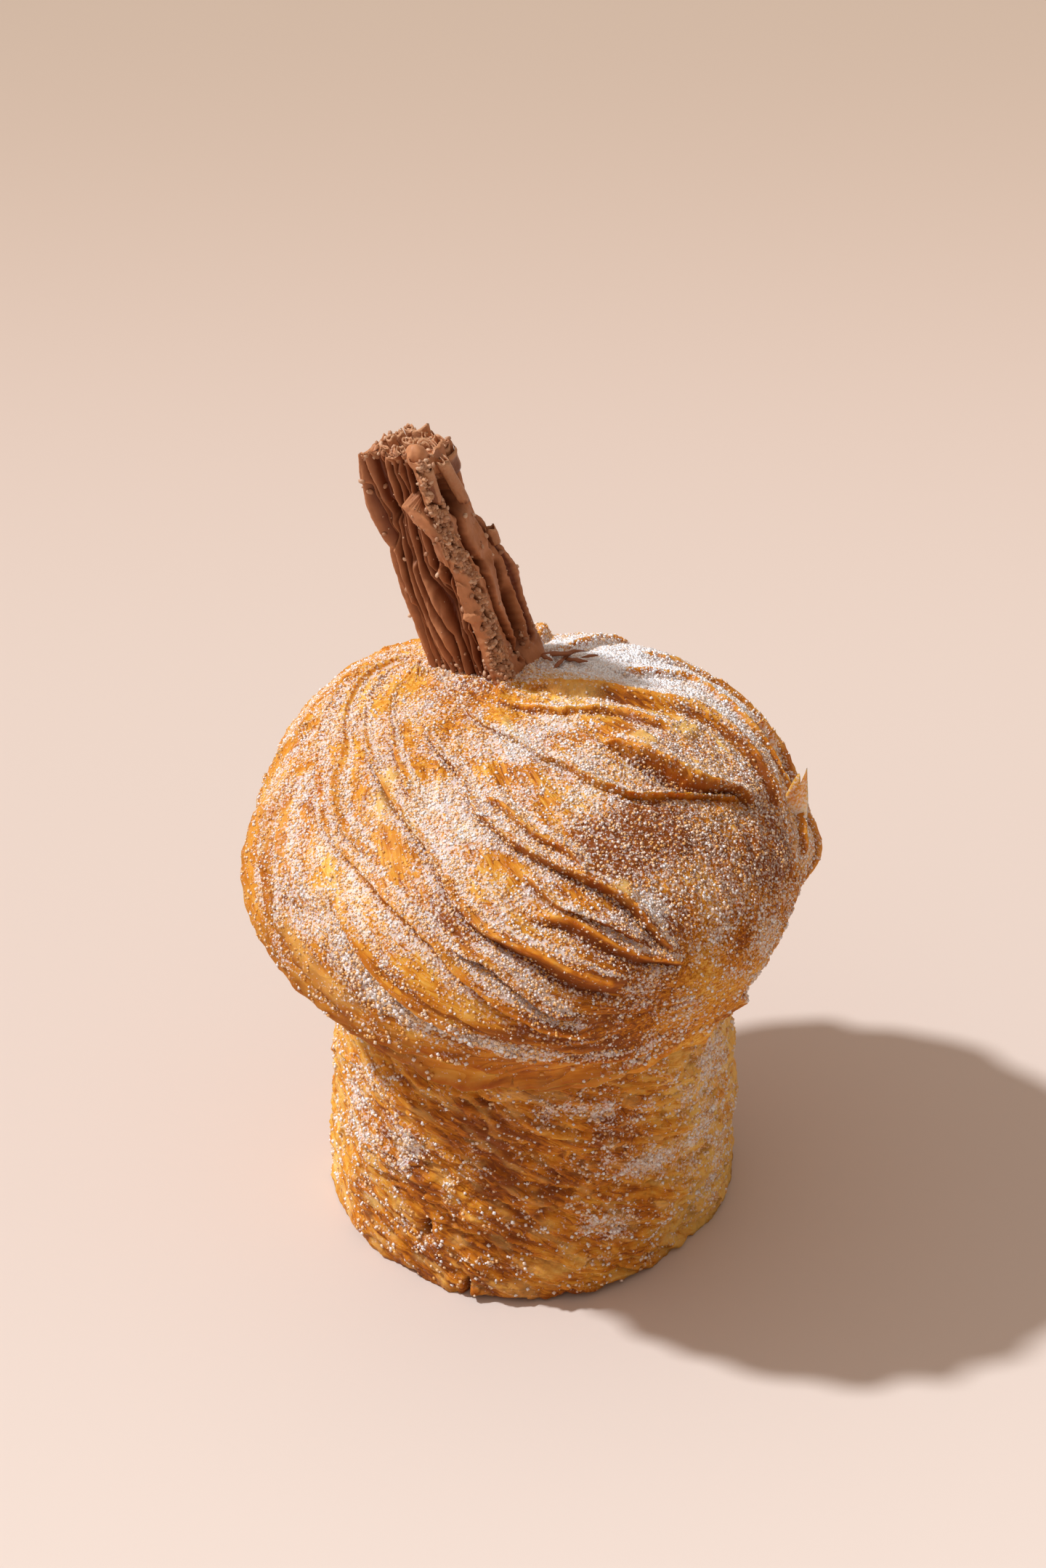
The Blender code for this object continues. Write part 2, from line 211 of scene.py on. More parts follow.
def lyingTurns(draw, out, tilt):
    # turning matrices that lay copies on a surface, spun at random and tilted a little
    normal = unit(out + tilt * draw.normal(size=out.shape))
    side = unit(np.cross(normal, draw.normal(size=out.shape)))
    return np.stack([side, np.cross(normal, side), normal], -1)


def copies(name, pattern, turns, sizes, places, tints):
    # one mesh made of many turned and sized copies of a pattern
    shape = readPoints(pattern)
    loops = np.empty(len(pattern.data.loops), np.int32)
    pattern.data.loops.foreach_get("vertex_index", loops)
    starts = np.empty(len(pattern.data.polygons), np.int32)
    pattern.data.polygons.foreach_get("loop_start", starts)
    count = len(places)
    points = np.einsum("nij,kj->nki", turns, shape) * sizes[:, None, None] + places[:, None, :]
    mesh = bpy.data.meshes.new(name)
    mesh.vertices.add(count * len(shape))
    mesh.loops.add(count * len(loops))
    mesh.polygons.add(count * len(starts))
    mesh.vertices.foreach_set("co", points.astype(np.float32).ravel())
    steps = np.arange(count)[:, None]
    mesh.loops.foreach_set("vertex_index", (loops + steps * len(shape)).astype(np.int32).ravel())
    mesh.polygons.foreach_set("loop_start", (starts + steps * len(loops)).astype(np.int32).ravel())
    mesh.update(calc_edges=True)
    mesh.validate()
    obj = bpy.data.objects.new(name, mesh)
    bpy.context.scene.collection.objects.link(obj)
    writeMasks(obj, tint=np.repeat(tints, len(shape)))
    return obj


# Colours and finishes, and the helpers that make materials

palette = {
    "sheetSize": (0.20, 0.20, 0.30),
    "sheets": 11.0,
    "baked": [
        (0.10, (0.26, 0.064, 0.007)),
        (0.36, (0.57, 0.175, 0.007)),
        (0.62, (0.75, 0.32, 0.030)),
        (0.92, (0.88, 0.52, 0.12)),
    ],
    "rim": [(0.25, (0.50, 0.12, 0.004)), (0.48, (0.76, 0.27, 0.02)), (0.75, (0.90, 0.46, 0.09))],
    "hollow": (0.16, 0.032, 0.004),
    "yellow": (0.86, 0.54, 0.17),
    "frost": (0.88, 0.775, 0.735),
    "chocolate": [(0.3, (0.40, 0.150, 0.062)), (0.7, (0.67, 0.285, 0.128))],
    "crumb": (0.64, 0.36, 0.20),
    "deepChocolate": (0.12, 0.018, 0.003),
}

finishes = {
    "floorPaper": {"Roughness": 0.85},
    "crust": {
        "Roughness": 0.55,
        "Specular IOR Level": 0.16,
        "Subsurface Weight": 0.3,
        "Subsurface Radius": (1.0, 0.36, 0.1),
        "Subsurface Scale": 0.0022,
    },
    "chocolate": {"Roughness": 0.45, "Specular IOR Level": 0.25},
    "chocolateCrumbs": {"Roughness": 0.5},
    "sugar": {"Roughness": 0.2},
}


def newMaterial(name):
    material = bpy.data.materials.new(name)
    material.use_nodes = True
    tree = material.node_tree
    shader = tree.nodes["Principled BSDF"]
    for label, value in finishes[name].items():
        shader.inputs[label].default_value = value
    return material, tree, shader


def newGroup(name, inputs, outputs):
    group = bpy.data.node_groups.new(name, "ShaderNodeTree")
    for way, sockets in (("INPUT", inputs), ("OUTPUT", outputs)):
        for label, kind in sockets.items():
            group.interface.new_socket(name=label, in_out=way, socket_type=f"NodeSocket{kind}")
    start = group.nodes.new("NodeGroupInput").outputs
    end = group.nodes.new("NodeGroupOutput").inputs
    return group, start, end


def placeGroup(tree, group, **inputs):
    # puts a group in a material, with what each of its inputs reads
    node = tree.nodes.new("ShaderNodeGroup")
    node.node_tree = group
    for label, value in inputs.items():
        tree.links.new(value, node.inputs[label])
    return node.outputs


def maths(tree, kind, *values, clamp=False):
    node = tree.nodes.new("ShaderNodeMath")
    node.operation = kind
    node.use_clamp = clamp
    for socket, value in zip(node.inputs, values):
        if isinstance(value, (int, float)):
            socket.default_value = value
        else:
            tree.links.new(value, socket)
    return node.outputs[0]


def weigh(tree, level, *parts):
    # a level plus each value times its weight
    for value, weight in parts:
        level = maths(tree, "MULTIPLY_ADD", value, weight, level)
    return level


def speckle(tree, place, scale, detail=2.0):
    node = tree.nodes.new("ShaderNodeTexNoise")
    node.inputs["Scale"].default_value = scale
    node.inputs["Detail"].default_value = detail
    tree.links.new(place, node.inputs["Vector"])
    return node.outputs["Fac"]


def blend(tree, share, first, second):
    node = tree.nodes.new("ShaderNodeMix")
    node.data_type = "RGBA"
    tree.links.new(share, node.inputs["Factor"])
    for socket, value in zip((node.inputs["A"], node.inputs["B"]), (first, second)):
        if isinstance(value, tuple):
            socket.default_value = (*value, 1)
        else:
            tree.links.new(value, socket)
    return node.outputs["Result"]


def ramp(tree, value, stops, kind="LINEAR"):
    node = tree.nodes.new("ShaderNodeValToRGB")
    node.color_ramp.interpolation = kind
    elements = node.color_ramp.elements
    while len(elements) < len(stops):
        elements.new(0.5)
    for element, (place, colour) in zip(elements, stops):
        element.position = place
        element.color = (*colour, 1)
    tree.links.new(value, node.inputs["Fac"])
    return node.outputs["Color"]


def attribute(tree, name, kind="Fac"):
    node = tree.nodes.new("ShaderNodeAttribute")
    node.attribute_name = name
    return node.outputs[kind]


def objectPlace(tree):
    return tree.nodes.new("ShaderNodeTexCoord").outputs["Object"]


def addBump(tree, shader, height, strength, distance):
    bump = tree.nodes.new("ShaderNodeBump")
    bump.inputs["Strength"].default_value = strength
    bump.inputs["Distance"].default_value = distance
    tree.links.new(height, bump.inputs["Height"])
    tree.links.new(bump.outputs["Normal"], shader.inputs["Normal"])


def tintedMaterial(name, stops):
    # each copy of a small piece carries a tint, which picks its colour
    material, tree, shader = newMaterial(name)
    tree.links.new(ramp(tree, attribute(tree, "tint"), stops), shader.inputs["Base Color"])
    return material


# Camera, floor and light

studio = {
    "cameraAt": (-0.00162, -0.6367, 0.5388),
    "lookingDown": 36,
    "lens": 120.1,
    "lamps": [  # where each stands, the way its light travels, strength, width in degrees and colour
        ((-0.6, 0.0, 0.6), (0.593, -0.064, -0.802), 3.3, 3.6, (0.9, 0.95, 1.0)),
        ((-0.3, 0.2, 0.8), (0.35, -0.1, -0.93), 0.7, 110.0, (1.0, 0.84, 0.72)),  # the light of the room
    ],
    "fill": (0.33, 0.275, 0.235),
    "floorSize": 3,
    "floorShades": (-0.1, 0.4),  # where the first and the last colour of the floor's painted light falloff lie, from front to back
    # painted light falloff: the floor's colours darken towards the back
    "floor": [
        (0.0, (0.74, 0.63, 0.56)),
        (0.2, (0.66, 0.55, 0.49)),
        (0.45, (0.66, 0.545, 0.475)),
        (0.64, (0.62, 0.49, 0.415)),
        (0.82, (0.545, 0.415, 0.33)),
        (1.0, (0.48, 0.365, 0.28)),
    ],
}


def floorMaterial():
    material, tree, shader = newMaterial("floorPaper")
    split = tree.nodes.new("ShaderNodeSeparateXYZ")
    tree.links.new(objectPlace(tree), split.inputs[0])
    depth = tree.nodes.new("ShaderNodeMapRange")
    for label, value in zip(("From Min", "From Max"), studio["floorShades"]):
        depth.inputs[label].default_value = value
    tree.links.new(split.outputs["Y"], depth.inputs["Value"])
    # painted light falloff from front to back
    shade = ramp(tree, depth.outputs["Result"], studio["floor"], "B_SPLINE")
    tree.links.new(shade, shader.inputs["Base Color"])
    return material


def buildStudio():
    deselectAll()
    tilt = math.radians(90 - studio["lookingDown"])
    bpy.ops.object.camera_add(location=studio["cameraAt"], rotation=(tilt, 0, 0))
    camera = bpy.context.object
    camera.data.sensor_width = 36
    camera.data.lens = studio["lens"]
    bpy.context.scene.camera = camera

    for place, travels, strength, width, colour in studio["lamps"]:
        deselectAll()
        bpy.ops.object.light_add(type="SUN", location=place)
        lamp = bpy.context.object
        lamp.rotation_euler = Vector(travels).to_track_quat("-Z", "Y").to_euler()
        lamp.data.energy = strength
        lamp.data.angle = math.radians(width)
        lamp.data.color = colour

    world = bpy.context.scene.world or bpy.data.worlds.new("studio")
    bpy.context.scene.world = world
    world.use_nodes = True
    world.node_tree.nodes["Background"].inputs["Color"].default_value = (*studio["fill"], 1)
    world.node_tree.nodes["Background"].inputs["Strength"].default_value = 1
    bpy.context.scene.view_settings.view_transform = "Standard"

    deselectAll()
    bpy.ops.mesh.primitive_plane_add(size=studio["floorSize"], location=(0, 0, 0))
    floor = bpy.context.object
    floor.name = "floor"
    floor.data.materials.append(floorMaterial())
    print("studio is set")


buildStudio()


# Where the chocolate stick stands, which the torn dough round its foot needs too

stick = {
    "side": 11.8 * mm,
    "widening": 0.14,  # at the foot
    "offset": (0.22 * mm, 0.17 * mm),
    "corner": 2.0 * mm,
    "buried": 23.5 * mm,
    "shown": 36.5 * mm,
    "topSlant": 3.6 * mm,  # how much higher the end is on its left
    "turn": -36.0,
    "lean": 17.3,
    "leanBack": 1.0,
    "at": (-7.55 * mm, 12.8 * mm, 91.0 * mm),
    "around": (140, 46, 46, 140),  # columns on each face
    "rows": 222,
    "buriedRows": 12,
    "topRows": 36,
    "pleats": 9.5,
    "pleatDepth": 1.3 * mm,
}


def stickFrame():
    back = Matrix.Rotation(math.radians(-stick["leanBack"]), 4, "X")
    lean = Matrix.Rotation(math.radians(-stick["lean"]), 4, "Y") @ back
    return Matrix.Translation(stick["at"]) @ lean @ Matrix.Rotation(math.radians(stick["turn"]), 4, "Z")


# Cap: one rope of dough layers wound round the crown. A place on it has a turn, which says on which layer it
# lies, and a run, from 0 under the chocolate to 180 at the sink, where the layers come together on the rim

cap = {
    "radius": 42.9 * mm,
    "rise": 27.4 * mm,
    "drop": 26.0 * mm,
    "rimHeight": 64.0 * mm,
    "crown": (142.2, 75.4),  # azimuth and elevation
    "sink": (-46.3, -0.7),
    "wind": (42.0, 22.0, 62.0),  # degrees wound round the crown, and between which runs
    "coarseColumns": 128,
    "rings": 226,
    "spreadRounds": 1500,
    "spreadAcross": 0.9,
    "foldFade": 7.0,
    "swirlFade": 24.0,
    "layerWave": (0.45 * mm, 6.4, 40.0),  # height of a slow wave, and its turn and run
    "frontFrom": 96.0,  # the turns that the camera sees have more columns
    "frontTo": 346.0,
    "sunk": 0.35 * mm,  # the ellipsoid lies this much inside, which leaves room for the folds
    # the ragged lip that hangs over the base: degrees under the middle, half width and swell, how it wanders,
    # and from where to where the dough draws in below it, and how far
    "hem": (34.0, 5.0, 1.1 * mm),
    "hemWander": [(1.6, 8 * mm, 12), (0.7, 2.5 * mm, 13)],
    "drawnIn": (37.0, 44.0, 2.4 * mm),
    "fibre": (1.5, 9.0),  # turn and run of one fibre
    "fibreHeights": (0.13, 0.10),  # of fibres and of the creases between them, in millimetres
    "crumb": [(0.16, 1.6 * mm, 6), (0.09, 0.8 * mm, 7)],  # height in millimetres, size and seed
    "paleCrumb": (0.55 * mm, 0.8, 1.5 * mm),  # how far torn pale bits stand up, how uneven, and their size
    "torn": (0.9 * mm, 1.5 * mm),  # how far from the stick the torn dough stands up, and its half width
    "tornLumps": [(1.1, 2.2 * mm, 8), (0.5, 0.9 * mm, 9)],
    # a pit in front of the stick, in the stick's own axes: its middle, half widths and depth
    "pit": (-1.5 * mm, -7.2 * mm, 1.6 * mm, 1.1 * mm, 2.2 * mm),
}


def fold(edge, lift=1.2, back=10, lip=0.5, face=3.2, groove=0.8, lean=0.35, span=1, baked=1.0, dark=1.0):
    # the free edge of a layer: its line as (run, turn), the swell behind it, the thin lip on top of that, the
    # width of the cut face, the groove beside it and how far the edge leans over, in millimetres and degrees,
    # and how brown the lip is and how dark the cut face is, with darker dough and painted shade
    def along(value):
        return value if isinstance(value, list) else [(0, value)]

    def onwards(near, far):
        # the line goes on straight a little way past its end
        slope = (near[1] - far[1]) / (near[0] - far[0])
        step = math.copysign(9, near[0] - far[0])
        return near[0] + step, near[1] + step * slope

    return {
        "start": edge[0][0],
        "end": edge[-1][0],
        "edge": [onwards(edge[0], edge[1]), *edge, onwards(edge[-1], edge[-2])],
        "lift": along(lift),
        "back": back,
        "lip": along(lip),
        "face": along(face),
        "groove": along(groove),
        "lean": along(lean),
        "span": span,
        "baked": baked,
        "dark": dark,
    }


cap["folds"] = [
    # the back of the cap
    fold([(26, 50), (58, 14), (100, 8), (150, 6)], lift=0.9, back=12, lip=0.4, face=5),
    fold([(26, 72), (60, 38), (110, 30), (152, 24)], lift=0.9, back=13, lip=0.3, face=5),
    fold([(28, 88), (64, 60), (110, 52), (152, 46)], lift=0.7, back=12, lip=0.3, face=5),
    fold([(54, 86), (90, 80), (150, 72)], lift=0.7, back=12, lip=0.3, face=5),
    fold([(28, 382), (56, 344), (100, 348), (150, 346)], lift=0.8, back=13, lip=0.4, face=4),
    # the right, behind the mouth
    fold([(44, 106), (62, 97), (84, 104), (130, 104)], lift=0.6, back=12, lip=0.3, face=4, groove=0.4),
    fold(
        [(18, 152), (30, 142), (40, 136), (50, 130), (58, 125), (66, 120), (73, 119), (110, 118)],
        lift=[(18, 1.4), (50, 1.5), (70, 0.8), (110, 0.5)], back=9, lip=0.1,
        face=[(20, 12), (50, 15), (62, 12), (80, 8)], groove=0.1, lean=0.0, span=2,
    ),
    fold(
        [(16, 200), (24, 184), (32, 172), (38, 161), (46, 152), (60, 147)],
        lift=0.6, back=8, lip=0.15, face=6, groove=0.3, lean=0.1,
    ),
    # the mouth: its upper lip, then the lower one
    fold(
        [(56, 176), (60, 174.5), (65, 172.5), (70, 170.5), (75, 168), (80, 165.5), (85, 162.6),
         (90, 159.6), (95, 156), (100, 149), (105, 143)],
        lift=[(56, 1.6), (70, 2.6), (90, 2.8), (110, 1.6)], back=16, lip=0.25,
        face=[(56, 2), (65, 5), (75, 8), (88, 10), (97, 6), (102, 2.4)],
        groove=[(62, 0.2), (70, 1.0), (80, 1.7), (95, 1.4), (105, 0.6)], lean=0.5, span=2, baked=0.45,
        dark=0.85,
    ),
    fold(
        [(12, 252), (20, 235), (26, 222), (33, 213), (40, 210), (45, 208), (51, 203), (56, 201),
         (62, 200), (66, 198), (70, 196.5), (75, 192.5), (79, 189.5), (81, 186), (84, 180.8), (88, 174.5),
         (92, 168.3), (96, 161.4), (99, 156), (102, 151)],
        lift=[(20, 0.5), (45, 0.6), (60, 0.9), (80, 0.7)], back=7, lip=[(40, 0.1), (55, 0.5), (80, 0.75)],
        face=[(50, 2.0), (85, 1.2), (99, 1.0)], groove=[(50, 0.6), (75, 0.25), (99, 0.1)], dark=0.15,
    ),
    # the front, from right to left
    fold(
        [(57, 239), (60, 236.8), (66, 235), (70, 234), (75, 233), (80, 230.3), (85, 228.2), (90, 227.2),
         (93, 227.6)],
        lift=0.4, back=8, lip=0.8, face=[(60, 3.4), (75, 2.8), (85, 2), (92, 1.4)], groove=0.5, lean=0.3,
    ),
    fold(
        [(26, 269), (31, 261), (38, 251), (44, 250), (50, 249), (56, 248.3), (60, 246.5), (65, 244.5),
         (70, 242.6), (75, 241), (80, 238.6), (85, 236.2), (90, 233.8), (95, 231.6), (98, 230.2),
         (105, 228), (110, 226.5), (115, 225.2), (120, 224.6), (125, 224.8), (130, 226.2), (135, 228),
         (142, 229.5)],
        lift=[(30, 0.5), (60, 0.8), (95, 1.0), (115, 1.5)], back=9,
        lip=[(40, 0.2), (62, 0.6), (110, 0.9)], face=[(60, 2.4), (98, 2.4), (118, 3.6), (135, 3.2)],
        groove=0.8, lean=0.4,
    ),
    fold(
        [(93, 244.4), (100, 245), (105, 244), (110, 242.4), (115, 240.4), (120, 238.2), (125, 236.8),
         (130, 236.2)],
        lift=0.5, back=6, lip=0.7, face=2.0, groove=0.6, lean=0.3,
    ),
    fold(
        [(108, 247), (112, 244.6), (120, 243.4), (130, 242.4), (140, 242), (150, 236)],
        lift=1.0, back=5, lip=0.3, face=7, groove=0.7, lean=0.1, span=2,
    ),
    fold(
        [(23.6, 338), (25.7, 326), (28, 315), (31, 304), (34, 296), (38, 290), (42, 285), (46.5, 280),
         (51, 276.5), (56, 272.6), (62, 269.4), (70, 268), (78, 268), (85, 268.8), (92, 268.4),
         (98, 267.6), (104, 265.8), (110, 263.8), (115, 262.3), (120, 261.6), (128, 261), (136, 260.5)],
        lift=[(25, 0.7), (45, 1.0), (60, 0.4), (80, 0.6), (105, 1.3), (125, 1.8)], back=11,
        lip=[(30, 0.4), (50, 0.4), (60, 0.2), (85, 0.5), (105, 0.9), (125, 0.6)],
        face=[(34, 3), (50, 2.6), (60, 1.6), (85, 2.2), (100, 3), (112, 5.5), (125, 11), (136, 13)],
        groove=0.8, lean=[(60, 0.2), (100, 0.4)], span=2,
    ),
    fold(
        [(21, 318), (23.6, 300), (28.6, 290), (34.3, 282), (39.3, 275.6), (45, 272.4)],
        lift=0.6, back=6, lip=0.35, face=3, groove=0.6,
    ),
    fold(
        [(102, 276.9), (105, 276.2), (110, 276), (115, 277), (120, 278.6), (125, 280.4), (130, 282.4)],
        lift=0.4, back=4, lip=0.7, face=1.8, groove=0.9, lean=0.3,
    ),
    fold(
        [(25.7, 350), (28, 340), (30, 330), (32, 320), (34, 313), (37, 307.6), (41, 305.4), (45, 303.4),
         (50, 300.4), (54, 297.4), (58, 293.4)],
        lift=0.5, back=4, lip=0.6, face=2.4, groove=0.7,
    ),
    fold(
        [(30, 345), (32.5, 337), (36, 330), (39, 321.4), (42, 315), (46.4, 309.6), (50.7, 306),
         (55.7, 301.8), (60.7, 296.6), (66, 291.6), (75, 286.4), (85, 283), (95, 281.6), (100, 282.2),
         (105, 283.4), (110, 284.6), (115, 285.6), (120, 286.6), (125, 288), (130, 289.4), (136, 291)],
        lift=[(30, 0.9), (58, 0.8), (68, 0.25), (88, 0.4), (105, 1.0), (130, 1.6)], back=10,
        lip=[(30, 0.6), (58, 0.5), (66, 0.1), (90, 0.2), (105, 0.7), (125, 0.8)], face=2.3,
        groove=[(60, 0.7), (70, 0.3), (100, 0.5)],
    ),
    # the smooth fibrous flank ends in the deep crevice full of sugar
    fold(
        [(78, 300), (90, 300), (100, 300.6), (110, 302), (115, 303.2), (120, 305), (125, 306.8),
         (130, 308.6), (136, 311), (145, 316), (150, 321)],
        lift=[(80, 0.8), (100, 1.6), (130, 2.0)], back=15, lip=0.1, face=[(80, 3), (110, 5), (140, 3)],
        groove=[(80, 0.8), (100, 1.7), (140, 1.4)], lean=0.5, span=2,
    ),
    fold(
        [(94, 309), (100, 311.4), (105, 314), (110, 316.4), (116, 318.2), (124, 320.4)],
        lift=0.6, back=3, lip=0.9, face=2.0, groove=1.0, span=0,
    ),
    # the left side and the lowest rim
    fold(
        [(48, 320), (50, 319), (56, 317), (62, 315.4), (70, 313)],
        lift=0.9, back=5, lip=0.5, face=3.0, groove=1.0,
    ),
    fold(
        [(54, 323), (62, 322), (72, 322), (84, 323), (100, 326), (120, 328)],
        lift=0.7, back=4, lip=0.8, face=2.6, groove=1.3,
    ),
    fold(
        [(60, 330), (80, 331.4), (100, 333), (125, 336), (146, 336)],
        lift=1.3, back=7, lip=0.8, face=3.0, groove=1.2,
    ),
    # thin flaps on the lower left, too short to hold columns of their own
    fold(
        [(104, 324.4), (114, 327.4), (128, 330), (146, 330.6)],
        lift=0.6, back=4, lip=0.8, face=2.2, groove=1.2, span=0,
    ),
    fold(
        [(72, 317), (84, 317.6), (96, 319.6), (108, 322)],
        lift=0.4, back=3, lip=0.8, face=1.8, groove=1.0, span=0,
    ),
    fold(
        [(84, 327.6), (96, 329.4), (110, 332), (130, 334)],
        lift=0.3, back=3, lip=0.7, face=1.8, groove=0.9, span=0,
    ),
    fold(
        [(40, 334), (50, 336.5), (62, 338), (76, 338.4), (88, 339.6)],
        lift=0.5, back=5, lip=0.7, face=2.6, groove=0.9, span=0,
    ),
    fold(
        [(106, 296), (118, 297), (130, 300), (140, 305)],
        lift=0.3, back=4, lip=0.25, face=2.0, groove=0.3, span=0,
    ),
]

cap["swells"] = [  # azimuth, elevation, width and height of the cap's rises and dents
    (-2, -1, 8, 1.0 * mm),  # the rope's end, a rounded knuckle on the right
    (-14, -18, 15, -5.2 * mm),
    (9, 11, 9, -2.6 * mm),
    (13, 20, 8, -2.1 * mm),
    (-72, 22, 26, 0.8 * mm),
    (172, 8, 14, -1.4 * mm),
    (152, 46, 22, 2.0 * mm),
    (40, 62, 11, -1.3 * mm),
    (-20, 74, 12, 0.8 * mm),
]

# patches of the cap: turn and its half width, run and its half width, and an amount where it isn't 1

cap["yellow"] = [  # the palest, least baked dough, and one patch of painted light
    (236, 3.5, 66, 6),
    (253, 5, 62, 4),
    (283, 5, 44, 9),
    (214, 4, 28, 7),
    # painted light right of the stick's foot, where the stick's shadow falls
    (140, 16, 26, 10, 0.7),
]
cap["bake"] = [  # darker dough, and painted shade where the cap turns from the sun on the right
    (200, 30, 98, 22, 0.66),
    (150, 34, 126, 28, 0.46),
    (272, 9, 84, 12, 0.20),
    (307, 14, 98, 14, 0.26),
    (262, 60, 136, 24, 0.38),
    (310, 26, 128, 22, 0.22),
    (169, 4, 80, 8, 0.12),
    (324, 12, 104, 38, 0.16),
]
cap["pale"] = [  # torn bits of pale dough that stand up a little
    (166, 6, 62, 5),
    (140, 8, 68, 5),
    (222, 3.5, 113, 5),
    (316.5, 2.5, 83.5, 7, 0.7),
    (316, 2.5, 94, 5, 0.7),
]
cap["snow"] = [  # the places where the sugar lies thickest
    (98, 28, 40, 26, 1.8),
    (104, 16, 70, 16, 1.1),
    (256, 16, 56, 14, 0.6),
    (218, 5, 126, 9, 0.9),
    (305, 4, 108, 22, 0.9),
    (216, 12, 34, 10, 0.5),
]
cap["bare"] = [  # the places without sugar
    (296, 8.0, 114, 28, 0.97),
    (247, 3.5, 130, 16, 0.7),
    (270, 5, 128, 11, 0.7),
    (132, 11, 50, 17),
    (335, 9, 45, 9, 0.6),
    (258, 30, 114, 28, 0.32),
    (325, 12, 104, 42, 0.8),
    (283, 4, 44, 8),
    (214, 3.5, 28, 6),
    (315, 3, 88, 12),
]
cap["thin"] = [(324, 11, 106, 38, 0.5)]  # the thin layers at the lower left, baked like the edges
cap["mouth"] = [(165, 14, 88, 24)]  # where the cut faces are baked like the edges
cap["crevice"] = [(305, 6, 110, 24)]  # coarse sugar, with painted shade on part of it
cap["even"] = [(160, 52, 104, 46, 0.8)]  # the right side in shade, dusted evenly, where many crystals get painted shade


def fromStick(points):
    return placed(points, stickFrame().inverted())


def direction(azimuth, elevation):
    around, up = np.radians(azimuth), np.radians(elevation)
    return np.stack([np.cos(up) * np.cos(around), np.cos(up) * np.sin(around), np.sin(up)], -1)


def onPlane(towards):
    return (towards[0] + 1j * towards[1]) / (1 - towards[2])


crown, sink = onPlane(direction(*cap["crown"])), onPlane(direction(*cap["sink"]))
balance = math.sqrt((1 + abs(crown) ** 2) / (1 + abs(sink) ** 2))


def swirlDirection(turn, run):
    # a globe's meridians, moved so that its poles lie at the crown and the sink
    along = balance * np.tan(np.radians(np.clip(run, 0, 179.9)) / 2) * np.exp(1j * np.radians(turn))
    flat = (crown + along * sink) / (1 + along)
    square = np.abs(flat) ** 2
    return np.stack([2 * flat.real, 2 * flat.imag, square - 1], -1) / (square + 1)[..., None]


def alongEdge(points, run):
    # a value along a layer, with its corners smoothed
    runs, values = np.array(points, float).T
    return np.mean([np.interp(run + shift, runs, values) for shift in (-3, -1.5, 0, 1.5, 3)], axis=0)


def foldStrength(item, run):
    start, end, fade = item["start"], item["end"], cap["foldFade"]
    return easeIn(start - fade, start, run) * (1 - easeIn(end, end + fade, run))


def foldRelief(turn, run):
    # height and slide across the layers, with masks for edges, cut faces, painted shade in grooves, and tops
    height, slide, rim, cut, hollow, ledge = (np.zeros(np.shape(turn)) for _ in range(6))
    for index, item in enumerate(cap["folds"]):
        strength = foldStrength(item, run)
        near = strength > 0
        if not near.any():
            continue
        r, s = run[near], strength[near]
        place = asPoints(r / 5, index, 0)
        wander = 0.5 * ripple(place, 1) + 0.25 * ripple(place * 3, 2)
        rag = 1 + 0.35 * ripple(place * 2, 3)
        past = (turn[near] - alongEdge(item["edge"], r) - wander + 180) % 360 - 180
        lift, lip, groove, lean = (
            alongEdge(item[part], r) * mm * s for part in ("lift", "lip", "groove", "lean")
        )
        lip, lean = 1.25 * lip * rag, 0.4 * lean
        face = 0.8 * alongEdge(item["face"], r)
        behind, beyond = np.minimum(past, 0), np.maximum(past - face, 0)
        drop = easeIn(0, face, past)
        # the swell and the lip behind the edge, then the cut face and the groove at its foot
        top = lift * np.exp(behind / item["back"]) + lip * np.exp(behind / 1.5)
        below = (lift + lip) * (1 - drop) - groove * drop * np.exp(-beyond / 4.0)
        height[near] += np.where(past <= 0, top, below)
        slide[near] += lean * np.where(past <= 0, np.exp(behind / 2.5), 1 - 2 * drop * np.exp(-beyond / 3.0))
        shown = s * np.clip((lip + lift * 0.3) / (0.6 * mm), 0, 1)
        # the baked edge is a narrow ribbon of changing width, and the rest of the face is only dark,
        # with darker dough and painted shade
        broad = 1.35 + 1.2 * ripple(asPoints(r / 6, index, 0), 4)
        broad = np.clip(broad * (1 - 0.5 * easeIn(104, 132, r)), 0.45, 3)
        ribbon = np.exp(-((behind / broad) ** 2) - (np.maximum(past - 0.8 * broad, 0) / 1.3) ** 2)
        dark = s * (past > 0) * np.clip(2 * drop, 0, 1) * bell(beyond / 0.9)
        # painted shade in the groove at the foot of the cut face
        low = np.clip(groove / (0.8 * mm), 0, 1.5) * bell((past - face) / 2.4)
        rim[near] = np.maximum(rim[near], item["baked"] * shown * ribbon)
        cut[near] = np.maximum(cut[near], item["dark"] * dark)
        hollow[near] = np.maximum(hollow[near], low)
        ledge[near] = np.maximum(ledge[near], shown * bell((past + 4.2) / 1.2))
    return height, slide, rim, cut, hollow, ledge


def winding(run):
    amount, start, end = cap["wind"]
    return amount * (1 - easeIn(start, end, run))


def foldColumns():
    # each fold takes the nearest free column, and the next ones for its cut face
    homes = []
    for index, item in enumerate(cap["folds"]):
        runs, turns = np.array(item["edge"][1:-1], float).T
        if item["span"]:
            homes.append((np.mean((turns - winding(runs)) % 360), index))
    taken, free = {}, 0
    for home, index in sorted(homes):
        column = max(round(home * cap["coarseColumns"] / 360), free)
        taken[index] = column
        free = column + cap["folds"][index]["span"] + 1
    return taken


